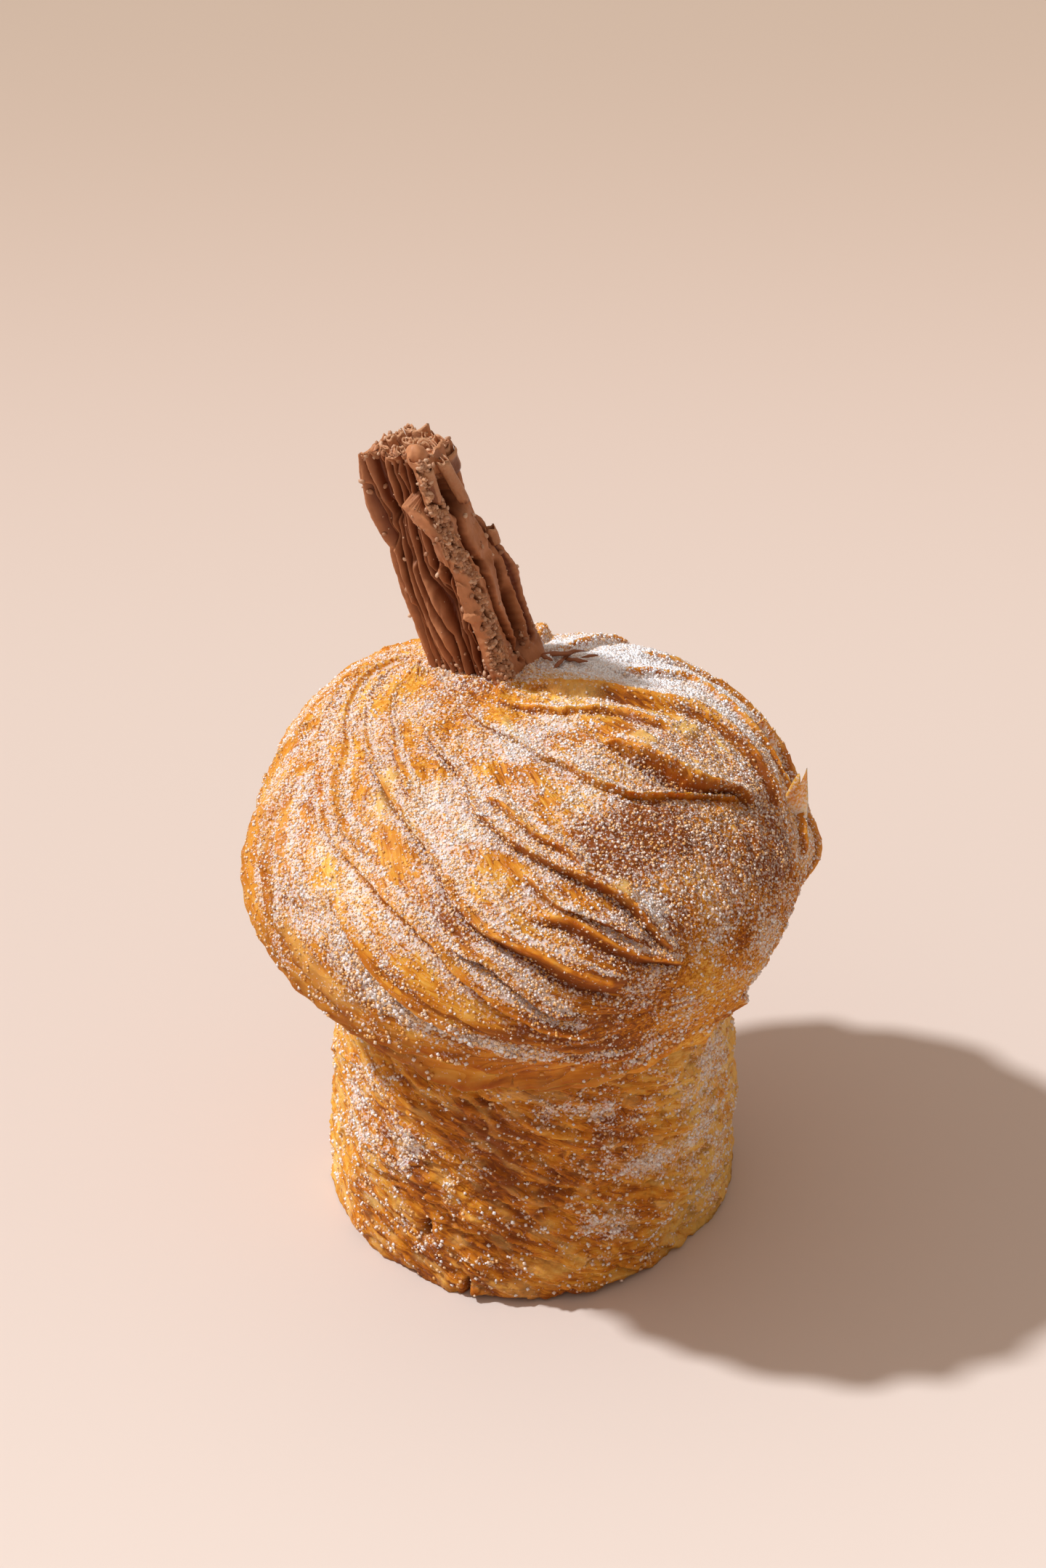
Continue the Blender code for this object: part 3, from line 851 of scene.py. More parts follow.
def columnTurns(runs):
    # free edges hold their columns, and the others spread out evenly between them
    count = cap["coarseColumns"]
    even = 360 / count * np.arange(count)[:, None] + winding(runs)
    target = np.full_like(even, np.nan)
    for index, column in foldColumns().items():
        item = cap["folds"][index]
        held = foldStrength(item, runs) > 0.15
        edge, face = alongEdge(item["edge"], runs), alongEdge(item["face"], runs)
        for side in range(item["span"] + 1):
            here = (column + side) % count
            wanted = edge + face * side / item["span"] - even[here]
            target[here, held] = ((wanted + 180) % 360 - 180)[held]
    held = ~np.isnan(target)
    shift = np.zeros_like(even)
    for _ in range(cap["spreadRounds"]):
        across = (np.roll(shift, 1, 0) + np.roll(shift, -1, 0)) / 2
        ends = np.pad(shift, ((0, 0), (1, 1)), mode="edge")
        along = (ends[:, 2:] + ends[:, :-2]) / 2
        shift = cap["spreadAcross"] * across + (1 - cap["spreadAcross"]) * along
        shift[held] = target[held]
    # columns keep a little way apart
    least = 0.2 * np.arange(count)[:, None]
    return np.maximum.accumulate(even + shift - least, axis=0) + least


def fineColumns():
    # (coarse column, share of the way to the next), closer together at the free edges and at the front
    cuts = {}
    for index, column in foldColumns().items():
        edge = np.array(cap["folds"][index]["edge"], float)
        front = cap["frontFrom"] < np.median(edge[:, 1]) < cap["frontTo"]
        for side in range(-1, cap["folds"][index]["span"] + 1):
            middle = 0 <= side < cap["folds"][index]["span"]
            here = (column + side) % cap["coarseColumns"]
            cuts[here] = max(cuts.get(here, 0), (5 if middle else 4) if front else (4 if middle else 2))
    turns = 360 / cap["coarseColumns"] * np.arange(cap["coarseColumns"])
    places = []
    for column, turn in enumerate(turns):
        plain = 3 if cap["frontFrom"] < turn < cap["frontTo"] else 2
        count = cuts.get(column, plain)
        places += [column + step / count for step in range(count)]
    return np.array(places + [cap["coarseColumns"]])


def capSides(towards):
    # half sizes of the ellipsoid, which is flatter under its middle
    return asPoints(cap["radius"], cap["radius"], np.where(towards[..., 2] > 0, cap["rise"], cap["drop"]))


def patchMask(turn, run, patches):
    mask = np.zeros(np.shape(turn))
    for middleTurn, halfTurn, middleRun, halfRun, *amount in patches:
        aside = (turn - middleTurn + 180) % 360 - 180
        near = np.exp(-((aside / halfTurn) ** 4) - ((run - middleRun) / halfRun) ** 4)
        mask = np.maximum(mask, near * (amount[0] if amount else 1))
    return mask


def buildCap():
    runs = 180 * np.arange(cap["rings"] + 1) / cap["rings"]
    coarse = columnTurns(runs)
    coarse = np.vstack([coarse, coarse[:1] + 360])
    fine = fineColumns()
    last = len(fine) - 1
    print("cap has", last, "columns")
    obj, column, row = gridPiece("cap", last, cap["rings"])
    low = np.minimum(fine[column].astype(int), cap["coarseColumns"] - 1)
    share = fine[column] - low
    turn = (coarse[low, row] * (1 - share) + coarse[low + 1, row] * share) % 360
    turn[column == last] = coarse[0, row[column == last]] % 360
    run = runs[row]
    patches = {name: patchMask(turn, run, cap[name]) for name in ("yellow", "bake", "pale", "snow", "bare")}

    towards = swirlDirection(turn, run)
    sides = capSides(towards)
    outwards = unit(towards / sides)
    across = unit(swirlDirection(turn + 0.05, run) * sides - swirlDirection(turn - 0.05, run) * sides)
    height, slide, rim, cut, hollow, ledge = foldRelief(turn, run)
    wave, waveTurn, waveRun = cap["layerWave"]
    around = np.radians(turn)
    flow = asPoints(np.cos(around), np.sin(around), 0)
    layered = flow / math.radians(waveTurn) + asPoints(0, 0, run / waveRun)
    height += wave * np.array([noise.noise(Vector(spot)) for spot in layered])
    fade = easeIn(0, cap["swirlFade"], run) * easeIn(0, cap["swirlFade"], 180 - run)
    height *= fade
    for azimuth, elevation, width, size in cap["swells"]:
        apart = np.degrees(np.arccos(np.clip(towards @ direction(azimuth, elevation), -1, 1)))
        height += size * bell(apart / width)

    oval = towards * sides
    raised, rough, size = cap["paleCrumb"]
    height += raised * patches["pale"] * (1 + rough * ripple(oval / size, 14))
    # the lower edge is a ragged lip that hangs over the base
    under = np.degrees(np.arcsin(np.clip(-towards[:, 2], -1, 1))) + bumps(oval, *cap["hemWander"])
    middle, width, swell = cap["hem"]
    start, end, drawn = cap["drawnIn"]
    height += swell * bell((under - middle) / width) - drawn * easeIn(start, end, under)
    rim = np.maximum(rim, 0.75 * bell((under - middle - 2.5) / 1.6))
    # painted shade on the underside, where the dough draws in below the lip
    hollow = np.maximum(hollow, 0.75 * easeIn(start + 1, end, under))
    # the inside of the mouth is baked like the edges
    mouth = cut * patchMask(turn, run, cap["mouth"])
    rim = np.maximum(np.maximum(rim, patchMask(turn, run, cap["thin"])), 0.85 * mouth)
    # fine layers along the flow, and crumbly bumps
    ring = np.clip(np.sin(np.radians(run)) / math.sin(math.radians(38)), 0, 1)[:, None]
    fibreTurn, fibreRun = cap["fibre"]
    fibre = flow * ring / math.radians(fibreTurn) + asPoints(0, 0, run / fibreRun)
    soft, sharp = cap["fibreHeights"]
    height += fade * (soft * ripple(fibre, 4) + sharp * ridges(fibre * 2.1, 5)) * mm
    height += (1 - 0.65 * patches["bare"]) * bumps(oval, *cap["crumb"]) * mm
    height -= cap["sunk"] * fade
    points = oval + height[:, None] * outwards + (fade * slide)[:, None] * across
    points[:, 2] += cap["rimHeight"]
    # torn dough stands up round the foot of the stick
    foot = fromStick(points)
    apart = np.abs(foot[:, :2] - stick["offset"]).max(axis=1) - stick["side"] * (1 + stick["widening"]) / 2
    away, width = cap["torn"]
    torn = bell((apart - away) / width) * (points[:, 2] > cap["rimHeight"])
    points[:, 2] += torn * np.clip(0.7 + bumps(points, *cap["tornLumps"]), -0.6, 2.2) * mm
    x, y, wide, long, deep = cap["pit"]
    pit = np.exp(-(((foot[:, 0] - x) / wide) ** 2) - ((foot[:, 1] - y) / long) ** 2) * (run < 30)
    points[:, 2] -= deep * pit
    # painted shade in the pit
    hollow = np.maximum(hollow, pit)
    return shapePiece(
        obj, points,
        rim=rim * fade, hollow=hollow * fade, cut=cut * fade, ledge=ledge * fade,
        flow=fibre, turn=turn, run=run, snow=patches["snow"],
        yellow=np.maximum(patches["yellow"], 0.8 * patches["pale"]),
        bare=np.maximum(patches["bare"], 0.9 * patches["pale"]),
        # darker dough and painted shade: the patches, the cut faces and the inside of the mouth
        bake=patches["bake"] + 0.42 * cut * fade + 0.8 * mouth,
    )


# The crust. Its groups give colours and heights only


def bakedDough():
    # golden crust with darker streaks along its layers, and painted shade from its masks
    group, start, end = newGroup(
        "bakedDough",
        {"Place": "Vector", "Flow": "Vector", "Bake": "Float",
         "Rim": "Float", "Hollow": "Float", "Yellow": "Float"},
        {"Colour": "Color", "Height": "Float"},
    )
    patches = speckle(group, start["Place"], 95, 3)
    streaks = speckle(group, start["Flow"], 0.9)
    grain = speckle(group, start["Flow"], 3.1)
    # crisp edges of thin sheets, where a slow noise along the layers passes each step
    slow = group.nodes.new("ShaderNodeVectorMath")
    slow.operation = "MULTIPLY"
    slow.inputs[1].default_value = palette["sheetSize"]
    group.links.new(start["Flow"], slow.inputs[0])
    sheets = speckle(group, slow.outputs[0], 1.0, 1)
    steps = maths(group, "FRACT", maths(group, "MULTIPLY", sheets, palette["sheets"]))
    edge = maths(group, "MULTIPLY", maths(group, "SUBTRACT", steps, 0.8), 5.0, clamp=True)
    # the tone is darker where the dough is more baked and where shade is painted
    tone = weigh(group, -0.984, (patches, 1.5), (streaks, 1.2), (grain, 0.5), (start["Bake"], -1.0))
    tone = weigh(group, tone, (steps, -0.16), (edge, -0.16))
    colour = ramp(group, tone, palette["baked"])
    colour = blend(group, start["Yellow"], colour, palette["yellow"])
    # edges run from red brown to yellow
    blotches = speckle(group, start["Place"], 420)
    edging = weigh(group, -0.1, (streaks, 0.6), (blotches, 0.7), (start["Bake"], -0.3))
    edging = ramp(group, edging, palette["rim"])
    colour = blend(group, maths(group, "MULTIPLY", start["Rim"], 0.9, clamp=True), colour, edging)
    # painted shade in grooves, crevices and holes and under the cap
    hollow = maths(group, "MULTIPLY", start["Hollow"], 0.7, clamp=True)
    colour = blend(group, hollow, colour, palette["hollow"])
    group.links.new(colour, end["Colour"])
    pores = speckle(group, start["Place"], 1400)
    group.links.new(weigh(group, 0, (grain, 0.5), (pores, 0.5), (steps, -0.9)), end["Height"])
    return group


def sugarDust():
    # sugar too fine to model: pale speckles, more of them where the amount is higher
    inputs = {"Place": "Vector", "Colour": "Color", "Amount": "Float"}
    group, start, end = newGroup("sugarDust", inputs, {"Colour": "Color"})
    fine = speckle(group, start["Place"], 2300)
    level = weigh(group, -0.66, (fine, 1.0), (start["Amount"], 0.42))
    shown = maths(group, "MULTIPLY", maths(group, "MULTIPLY", level, 5.0, clamp=True), 0.75)
    group.links.new(blend(group, shown, start["Colour"], palette["frost"]), end["Colour"])
    return group


def crustMaterial():
    material, tree, shader = newMaterial("crust")
    place = objectPlace(tree)
    masks = {label: attribute(tree, label.lower()) for label in ("Bake", "Rim", "Hollow", "Yellow")}
    baked = placeGroup(tree, bakedDough(), Place=place, Flow=attribute(tree, "flow", "Vector"), **masks)
    amount = attribute(tree, "sugar")
    dusted = placeGroup(tree, sugarDust(), Place=place, Colour=baked["Colour"], Amount=amount)
    tree.links.new(dusted["Colour"], shader.inputs["Base Color"])
    addBump(tree, shader, baked["Height"], 0.6, 0.25 * mm)
    return material


crust = crustMaterial()
capPiece = finishPiece(buildCap(), crust, "crust", "pastry")


# Flakes of thin dough that have come away from the cap

flakes = {
    "thick": 0.4,  # millimetres
    "steps": 14,
    "rows": 12,
    # turn and run of the foot, the way it points and faces, length and width in millimetres, and its curl
    "at": [
        (112, 119, (0.12, 0.00, 1.00), (0.25, -0.95, 0.2), 9.4, 5.0, 12),
        (98, 95, (0.15, 0.00, 1.00), (0.25, -0.95, 0.2), 4.6, 2.8, 20),
        (104, 88, (0.30, 0.05, 0.90), (0.30, -0.90, 0.2), 3.0, 2.4, 30),
    ],
}


def buildFlakes():
    made = []
    for index, (turn, run, points, faces, length, width, curl) in enumerate(flakes["at"]):
        obj, column, row = gridPiece("flake", 2 * flakes["steps"], flakes["rows"])
        outer, share = sheetSides(column, flakes["steps"])
        across = 2 * share - 1
        climb = row / flakes["rows"]
        # thin towards all its edges
        thick = np.clip(1 - across**2, 0, 1) ** 0.5 * np.clip(6 * climb * (1 - climb), 0, 1) ** 0.5
        towards = swirlDirection(np.array([turn]), np.array([run]))[0]
        outside = towards * capSides(towards)
        start = Vector(outside * 1.3 + [0, 0, cap["rimHeight"]])
        foot = capPiece.ray_cast(start, Vector(-outside).normalized())[1]
        up = unit(np.array(points))
        out = unit(np.array(faces) - up * (np.array(faces) @ up))
        side = np.cross(up, out)
        taper = 1 - 0.75 * climb**1.5
        jagged = 1 + 0.30 * ripple(asPoints(across * 1.6, 0, index * 2.7), 2)
        reach = (climb * jagged - 0.22) * length
        bend = 0.5 * math.radians(curl) * climb**2
        rise, away = reach * np.cos(bend), reach * np.sin(bend) - 0.35 * across**2 * width / 4
        away += np.where(outer, 0.5, -0.5) * flakes["thick"] * thick
        away += 0.25 * ripple(asPoints(across * 1.5, climb * 2, index), 3)
        places = up * rise[:, None] + out * away[:, None] + side * (across * taper * width / 2)[:, None]
        made.append(shapePiece(
            obj, places * mm + np.array(foot), rim=0.45 * climb**2, yellow=0.3, sugar=0.9 - 0.6 * climb,
            flow=asPoints(across * 2, 0, climb * 1.5 + index),
        ))
    return joined(made, "flakes")


finishPiece(buildFlakes(), crust, "crust")


# Base: the drum that was baked inside a ring, with the edges of its layers showing as rough slanting streaks

base = {
    "radius": 32.0 * mm,
    "neckRadius": 31.2 * mm,
    "footRadius": 31.4 * mm,
    "neckHeight": 36.0 * mm,
    "top": 52.0 * mm,
    "edge": 1.6 * mm,
    "wave": 1.15 * mm,
    "waveSize": (14.0 * mm, 14.0 * mm, 5.0 * mm),
    "slope": 0.45,
    "layer": 3.4,  # millimetres from one shingle to the next, and how far each stands out
    "shingle": 0.85,
    "crumbs": (0.72, 0.34),  # how far large and small crumbs stand out, in millimetres
    "most": 1.0 * mm,  # nothing stands out further than this
    "columns": 590,
    "rows": 160,
    "recess": (-40, 20, 2.3 * mm),  # azimuth, width and depth of the place where the foot stands back
    "lifted": (-114, -50, 1.1 * mm),  # from where to where the foot's edge is off the floor, and how far
    "snow": [  # azimuth and its half width, height and its half width, and thickness of the drifts of sugar
        (-131, 6, 26.5 * mm, 4.5 * mm, 1.2),
        (-57, 13, 23 * mm, 2.4 * mm, 1.3),
        (-70, 6, 13.6 * mm, 2.2 * mm, 0.8),
        (-26, 11, 34 * mm, 9 * mm, 1.3),
        (-24, 7, 12 * mm, 5 * mm, 1.0),
        (-74, 13, 37 * mm, 2.2 * mm, 0.7),
        (-148, 14, 26 * mm, 15 * mm, 0.5),
        (-32, 15, 26 * mm, 16 * mm, 0.45),
    ],
    "holes": [  # azimuth, height, width, height and depth of the holes in the wall, which painted shade darkens
        (-122, 11 * mm, 0.9 * mm, 1.6 * mm, 3.0 * mm),
        (-109, 1.5 * mm, 0.5 * mm, 2.0 * mm, 2.5 * mm),
        (-35, 12 * mm, 1.6 * mm, 0.9 * mm, 1.5 * mm),
    ],
}


def baseProfile():
    # radius and height up the wall, from the middle of the foot to the middle of the top
    foot, top, edge = base["footRadius"], base["top"], base["edge"]
    profile = [(0, 0), (foot * 0.5, 0), (foot * 0.9, 0), (foot, 0)]
    for angle in np.radians([20, 40, 60, 90]):
        out = (base["radius"] - foot) * math.sin(angle)
        profile.append((foot + out, edge * (1 - math.cos(angle))))
    wall = base["rows"] - len(profile) - 1
    for row in range(1, wall + 1):
        height = edge + (top - edge) * row / wall
        taper = float(easeIn(edge, base["neckHeight"], height))
        profile.append((base["radius"] + (base["neckRadius"] - base["radius"]) * taper, height))
    return np.array(profile + [(base["radius"] * 0.6, top), (0, top)])


def baseSnow(azimuth, height):
    mask = np.zeros(np.shape(azimuth))
    for middle, wide, at, tall, amount in base["snow"]:
        # drifts slant down to the right like the layers
        across = azimuth - middle
        up = height - at + across * 0.12 * mm
        mask = np.maximum(mask, amount * np.exp(-((across / wide) ** 2) - (up / tall) ** 2))
    return mask


def buildBase():
    profile = baseProfile()
    obj, column, row = gridPiece("base", base["columns"], len(profile) - 1)
    around = 2 * np.pi * (column % base["columns"]) / base["columns"]
    azimuth = (np.degrees(around) + 180) % 360 - 180
    radius, height = profile[row].T
    wall = asPoints(np.cos(around), np.sin(around), 0)
    points = radius[:, None] * wall
    points[:, 2] = height

    level = height + base["slope"] * points[:, 0]
    broad = asPoints(points[:, 0], points[:, 1], level) / base["waveSize"]
    waves = [noise.noise(Vector(p)) + 0.6 * noise.noise(2.5 * Vector(p)) for p in broad]
    relief = base["wave"] * np.array(waves)
    # ragged shingled layers that overlap downwards, broken into puffy crumbs with sharp crevices between them
    spot = points / mm
    sway = ripple(spot / [9, 9, 6], 1)
    layer = level / mm / base["layer"] + 0.8 * sway + 0.35 * ripple(spot / [3.5, 3.5, 2.2], 2)
    part = layer - np.floor(layer)
    strong = np.clip(0.6 + 0.9 * ripple(spot / [8, 8, 5], 3), 0.1, 1)
    shingle = (1 - part) ** 1.5 + easeIn(0.9, 1.0, part)
    relief += strong * base["shingle"] * (shingle - 0.5) * mm
    slanted = asPoints(spot[:, 0], spot[:, 1], level / mm)
    large = np.abs(ripple(slanted / [3.6, 3.6, 1.7], 4)) ** 0.7
    small = np.abs(ripple(slanted / [1.7, 1.7, 1.0], 5)) ** 0.8
    smooth = 1 - easeIn(-150, -128, azimuth) + easeIn(-62, -36, azimuth)
    rough = 1 - 0.45 * np.clip(smooth, 0, 1)
    largeOut, smallOut = base["crumbs"]
    puffy = largeOut * (large - 0.45) + smallOut * (small - 0.4) + 0.12 * ripple(spot / 0.7, 6)
    relief += rough * puffy * mm
    crevice = np.exp(-large / 0.10) + 0.6 * np.exp(-small / 0.10)
    # painted shade in the crevices under each layer and between the crumbs
    hollow = np.clip(0.8 * easeIn(0.62, 0.98, part) * strong + 0.5 * crevice, 0, 1)
    relief -= 0.45 * mm
    for middle, at, width, tall, deep in base["holes"]:
        apart = np.radians((azimuth - middle + 180) % 360 - 180) * base["radius"]
        pit = np.exp(-((apart / width) ** 2) - ((height - at) / tall) ** 2)
        relief -= deep * pit
        hollow = np.maximum(hollow, 1.4 * pit)
    # the foot stands back in one place and is off the floor in another
    middle, width, deep = base["recess"]
    relief -= deep * bell((azimuth - middle) / width) * (1 - easeIn(5 * mm, 15 * mm, height))
    edgeWave = ripple(asPoints(spot[:, 0], spot[:, 1], 0) / 6, 7)
    relief += 0.5 * mm * edgeWave * (1 - easeIn(0, 8 * mm, height))
    outer = radius > base["footRadius"] * 0.95
    points += np.minimum(relief * outer, base["most"])[:, None] * wall
    start, end, lift = base["lifted"]
    off = easeIn(start, start + 12, azimuth) * (1 - easeIn(end - 12, end, azimuth)) * (0.75 + 0.5 * edgeWave)
    points[:, 2] += lift * off * (1 - easeIn(0, 7 * mm, height)) * outer
    # painted shadow of the cap on the top of the wall, most on the left; the colour is also darker along the
    # foot
    left = easeIn(-92, -112, azimuth) * easeIn(-180, -160, azimuth)
    shade = (0.3 + 0.35 * left) * easeIn(38.5 * mm, 43.5 * mm, height + 1.2 * mm * sway)
    hollow = np.maximum(np.maximum(hollow, shade), 0.8 * (1 - easeIn(0, 1.2 * mm, height)))
    # both sides are paler dough; on the right the paler colour is also painted light, bounced from the floor
    pale = np.clip(easeIn(-72, -28, azimuth) + 1 - easeIn(-160, -122, azimuth), 0, 1)
    right = easeIn(-72, -36, azimuth) * (1 - easeIn(60, 120, azimuth))
    behind = easeIn(90, 125, np.abs((azimuth + 270) % 360 - 180))
    return shapePiece(
        obj, points,
        rim=np.clip(0.8 * strong * (1 - easeIn(0.0, 0.25, part)), 0, 1),
        hollow=hollow,
        flow=slanted / [3.2, 3.2, 0.9],
        bake=0.22 - 0.34 * pale - 0.26 * right + 0.24 * behind,
        yellow=(0.35 + 0.4 * pale) * easeIn(0.1, 0.6, ripple(slanted / [4, 4, 2], 8)),
        snow=baseSnow(azimuth, height),
    )


basePiece = finishPiece(buildBase(), crust, "crust", "pastry")


# Chocolate stick: a square bar of thin folded sheets, with ribs on two faces and drapes on the other two.
# A place on it is a face, counted from the one at the front right, a share of the way across and a height

farAway = 9.0  # stands for places that are on neither side of a corner


def onStick(points):
    return placed(points, stickFrame())


def barSection():
    # the position, the outward direction, the face and the share of the face round a bar with round corners
    face = np.repeat(np.arange(4), stick["around"])
    share = np.concatenate([(np.arange(count) + 0.5) / count for count in stick["around"]])
    side, corner = stick["side"], stick["corner"]
    across = (2 * share - 1) * side / 2
    flat = side / 2 - corner
    bent = np.abs(across) > flat
    centre = np.stack([np.full(len(face), flat), np.sign(across) * flat], -1)
    place = np.stack([np.full(len(face), side / 2), across], -1)
    out = np.where(bent[:, None], unit(place - centre), [1.0, 0.0])
    place = np.where(bent[:, None], centre + corner * out, place)
    c, s = np.cos(np.pi / 2 * face), np.sin(np.pi / 2 * face)
    turned = [np.stack([c * v[:, 0] - s * v[:, 1], s * v[:, 0] + c * v[:, 1]], -1) for v in (place, out)]
    return *turned, face, share


# how far the left and right corners stand out at each height, and the line and width of the crumbly ridge
stick["leftEdge"] = [(0, -0.4), (5, -0.2), (13, 0.1), (21, 0.0), (23.2, -0.4), (24.5, 0.0), (27, 0.4),
                     (31, 0.8), (35, 0.5), (40, -0.6)]
stick["rightEdge"] = [(0, 0), (8, 0.0), (12.5, 0.7), (16, 0.1), (19, -0.5), (22.4, -1.3), (23.6, -2.3),
                      (28, -2.5), (33, -1.5), (38, -1.0)]
stick["ridge"] = [(0, 0.20, 1.7), (6.4, 0.20, 1.6), (9.2, 0.22, 1.2), (13, 0.24, 0.9), (18, 0.24, 0.9),
                  (20.6, 0.20, 1.2), (23.7, 0.12, 1.7), (29.5, 0.12, 1.6), (36, 0.15, 1.4), (40, 0.17, 1.3)]
# (height, share) down each valley between the ribs on the left front, its width and depth
stick["valleys"] = [
    ([(34.2, 0.06), (32.4, 0.07), (28.7, 0.10), (24.2, 0.11)], 0.30, 1.9),
    ([(40, 0.30), (36, 0.28), (31.6, 0.26), (28.8, 0.245)], 0.55, 1.6),
    ([(22, 0.07), (18, 0.06), (13, 0.07), (8, 0.08), (3, 0.12), (0, 0.13)], 0.26, 1.1),
    ([(12, 0.12), (8, 0.15), (4, 0.20), (0, 0.22)], 0.24, 0.9),
    ([(39, 0.13), (35, 0.14), (31, 0.155), (28, 0.17), (25, 0.165)], 0.28, 1.0),
    ([(30, 0.25), (26.6, 0.24), (23.6, 0.20), (19.3, 0.18), (15, 0.17), (11.8, 0.19), (7.8, 0.21),
      (3.5, 0.28), (0, 0.30)], 0.30, 1.2),
    ([(41, 0.42), (38.6, 0.37), (34.5, 0.34), (30, 0.32), (26.7, 0.30), (23.4, 0.28), (19, 0.26),
      (15.5, 0.27), (11.6, 0.29), (8, 0.35), (3.8, 0.42), (0, 0.40)], 0.30, 1.2),
    ([(40.6, 0.51), (38, 0.43), (35.5, 0.39), (32.7, 0.37), (28, 0.355), (24, 0.34),
      (21, 0.32)], 0.26, 1.0),
    ([(39, 0.56), (37.3, 0.52), (33, 0.49), (30.2, 0.44), (27, 0.41), (23.6, 0.39), (20.6, 0.36),
      (18, 0.37), (14, 0.39), (10.3, 0.47), (7.8, 0.53), (4, 0.53), (0, 0.50)], 0.32, 1.4),
    ([(39, 0.66), (37.5, 0.61), (33.4, 0.58), (29.3, 0.53), (26.8, 0.52), (23.8, 0.50), (20.8, 0.46),
      (18.3, 0.48), (15.8, 0.55), (13, 0.60), (9.3, 0.63), (3.6, 0.63), (0, 0.62)], 0.32, 1.5),
    ([(40.6, 0.75), (37.3, 0.72), (33.2, 0.64), (29, 0.58), (26, 0.59), (23, 0.57), (20.6, 0.54),
      (17.8, 0.58), (15, 0.62), (12.3, 0.65), (10.4, 0.68), (7.5, 0.71), (3.7, 0.69),
      (0, 0.69)], 0.30, 1.3),
    ([(39.4, 0.82), (36, 0.77), (34, 0.75), (32, 0.72), (28.3, 0.66), (25.4, 0.70), (22.8, 0.67),
      (20.2, 0.64), (18.5, 0.63), (16.3, 0.68), (14, 0.685), (11.5, 0.73), (9, 0.78), (5, 0.78),
      (0, 0.76)], 0.34, 1.6),
    ([(40, 0.93), (36.8, 0.87), (34.5, 0.81), (32.4, 0.78), (30.5, 0.76)], 0.55, 2.2),
    ([(26, 0.74), (23.2, 0.73), (20.9, 0.70)], 0.40, 1.4),
    ([(37.4, 0.96), (34.4, 0.89), (32.6, 0.88), (30.5, 0.93)], 0.40, 1.8),
    ([(19.1, 0.79), (17, 0.76), (14, 0.74), (10.9, 0.77), (8.4, 0.83), (5.7, 0.83), (3.4, 0.86),
      (0, 0.88)], 0.34, 1.6),
    ([(20.3, 0.92), (16.3, 0.87), (13.7, 0.85), (11, 0.85)], 0.36, 1.5),
    ([(18.6, 0.99), (16.4, 0.96), (12.5, 0.91), (8, 0.95), (4, 0.91), (0, 0.92)], 0.38, 1.5),
]
stick["hollows"] = [  # face, share, height, slant, half width, half height and depth of each hollow, darkened with painted shade
    (0, 0.42, 31.0, -0.036, 1.75, 3.6, 5.0),
    (0, 0.44, 18.3, -0.010, 0.55, 1.4, 3.0),
    (0, 0.66, 5.6, 0.006, 1.35, 5.0, 3.0),
    (0, 0.70, 12.6, 0.015, 0.6, 3.0, 1.4),
    (3, 0.83, 20.2, 0.004, 0.70, 1.7, 2.4),
    (1, 0.35, 22.0, 0.01, 0.9, 4.0, 2.4),
    (2, 0.62, 14.0, -0.01, 0.8, 4.5, 2.4),
]
# face, (height, share) along each crease, its width and depth, and how high its right side is
stick["creases"] = [
    (0, [(28, 0.54), (26.2, 0.42), (23.8, 0.37), (20.4, 0.40)], 0.45, 1.5, 0.5),
    (0, [(17, 0.44), (15, 0.45), (12.7, 0.43), (10.5, 0.42), (7.7, 0.44), (4.3, 0.46),
         (0.4, 0.52)], 0.24, 1.8, 0.7),
    (0, [(27, 0.83), (23.8, 0.79), (19.3, 0.76), (15.5, 0.65), (10.9, 0.60), (6, 0.57),
         (0, 0.60)], 0.35, 1.0, -1.3),
    (0, [(36, 0.70), (33, 0.72), (30, 0.75), (27, 0.78)], 0.22, 0.8, -0.5),
    (0, [(21.5, 1.0), (19, 0.97), (12.8, 0.87), (6, 0.9), (1, 0.86)], 0.4, 0.6, 0.4),
    (1, [(40, 0.55), (30, 0.48), (18, 0.62), (6, 0.5), (-2, 0.52)], 0.4, 1.2, 0.6),
    (2, [(40, 0.3), (28, 0.42), (16, 0.33), (4, 0.45), (-2, 0.4)], 0.4, 1.2, -0.7),
]
stick["plates"] = [  # corners, as a share counted on from the face before and a height, and how thick it is
    ([(0.68, 33.0), (0.82, 33.4), (0.93, 31.6), (1.03, 28.0), (1.10, 25.4), (1.00, 26.6),
      (0.82, 29.6)], 0.75),
    ([(0.92, 12.9), (1.02, 13.8), (1.14, 12.5), (1.13, 11.2), (0.99, 11.7)], 0.6),
    ([(1.0, 18.6), (1.12, 17.6), (1.18, 13.4), (1.08, 13.0), (0.95, 13.4), (0.96, 16.0)], 0.1),
]


def insidePlate(corners, across, height):
    # how far inside a convex outline a place is, in millimetres, negative when it is outside
    least = np.full(np.shape(across), np.inf)
    middle = np.mean(corners, axis=0) * [stick["side"] / mm, 1]
    for (u1, h1), (u2, h2) in zip(corners, corners[1:] + corners[:1]):
        ax, ay, bx, by = u1 * stick["side"] / mm, h1, u2 * stick["side"] / mm, h2
        nx, ny = unit(np.array([by - ay, ax - bx]))
        if nx * (middle[0] - ax) + ny * (middle[1] - ay) < 0:
            nx, ny = -nx, -ny
        least = np.minimum(least, nx * (across - ax) + ny * (height - ay))
    return least


def alongLine(tall, line):
    # the share at a height on a line, and how far from its ends that height is
    heights, shares = np.array(sorted(line)).T
    inside = easeIn(heights[0] - 1.5, heights[0], tall) if heights[0] > 0 else 1
    return np.interp(tall, heights, shares), inside * (1 - easeIn(heights[-1], heights[-1] + 1.5, tall))


def fromCorner(face, share, before):
    # how far round the bar a place is from the corner where a face ends, and far away on the other two faces
    return np.where(face == before, share - 1, np.where(face == (before + 1) % 4, share, farAway))


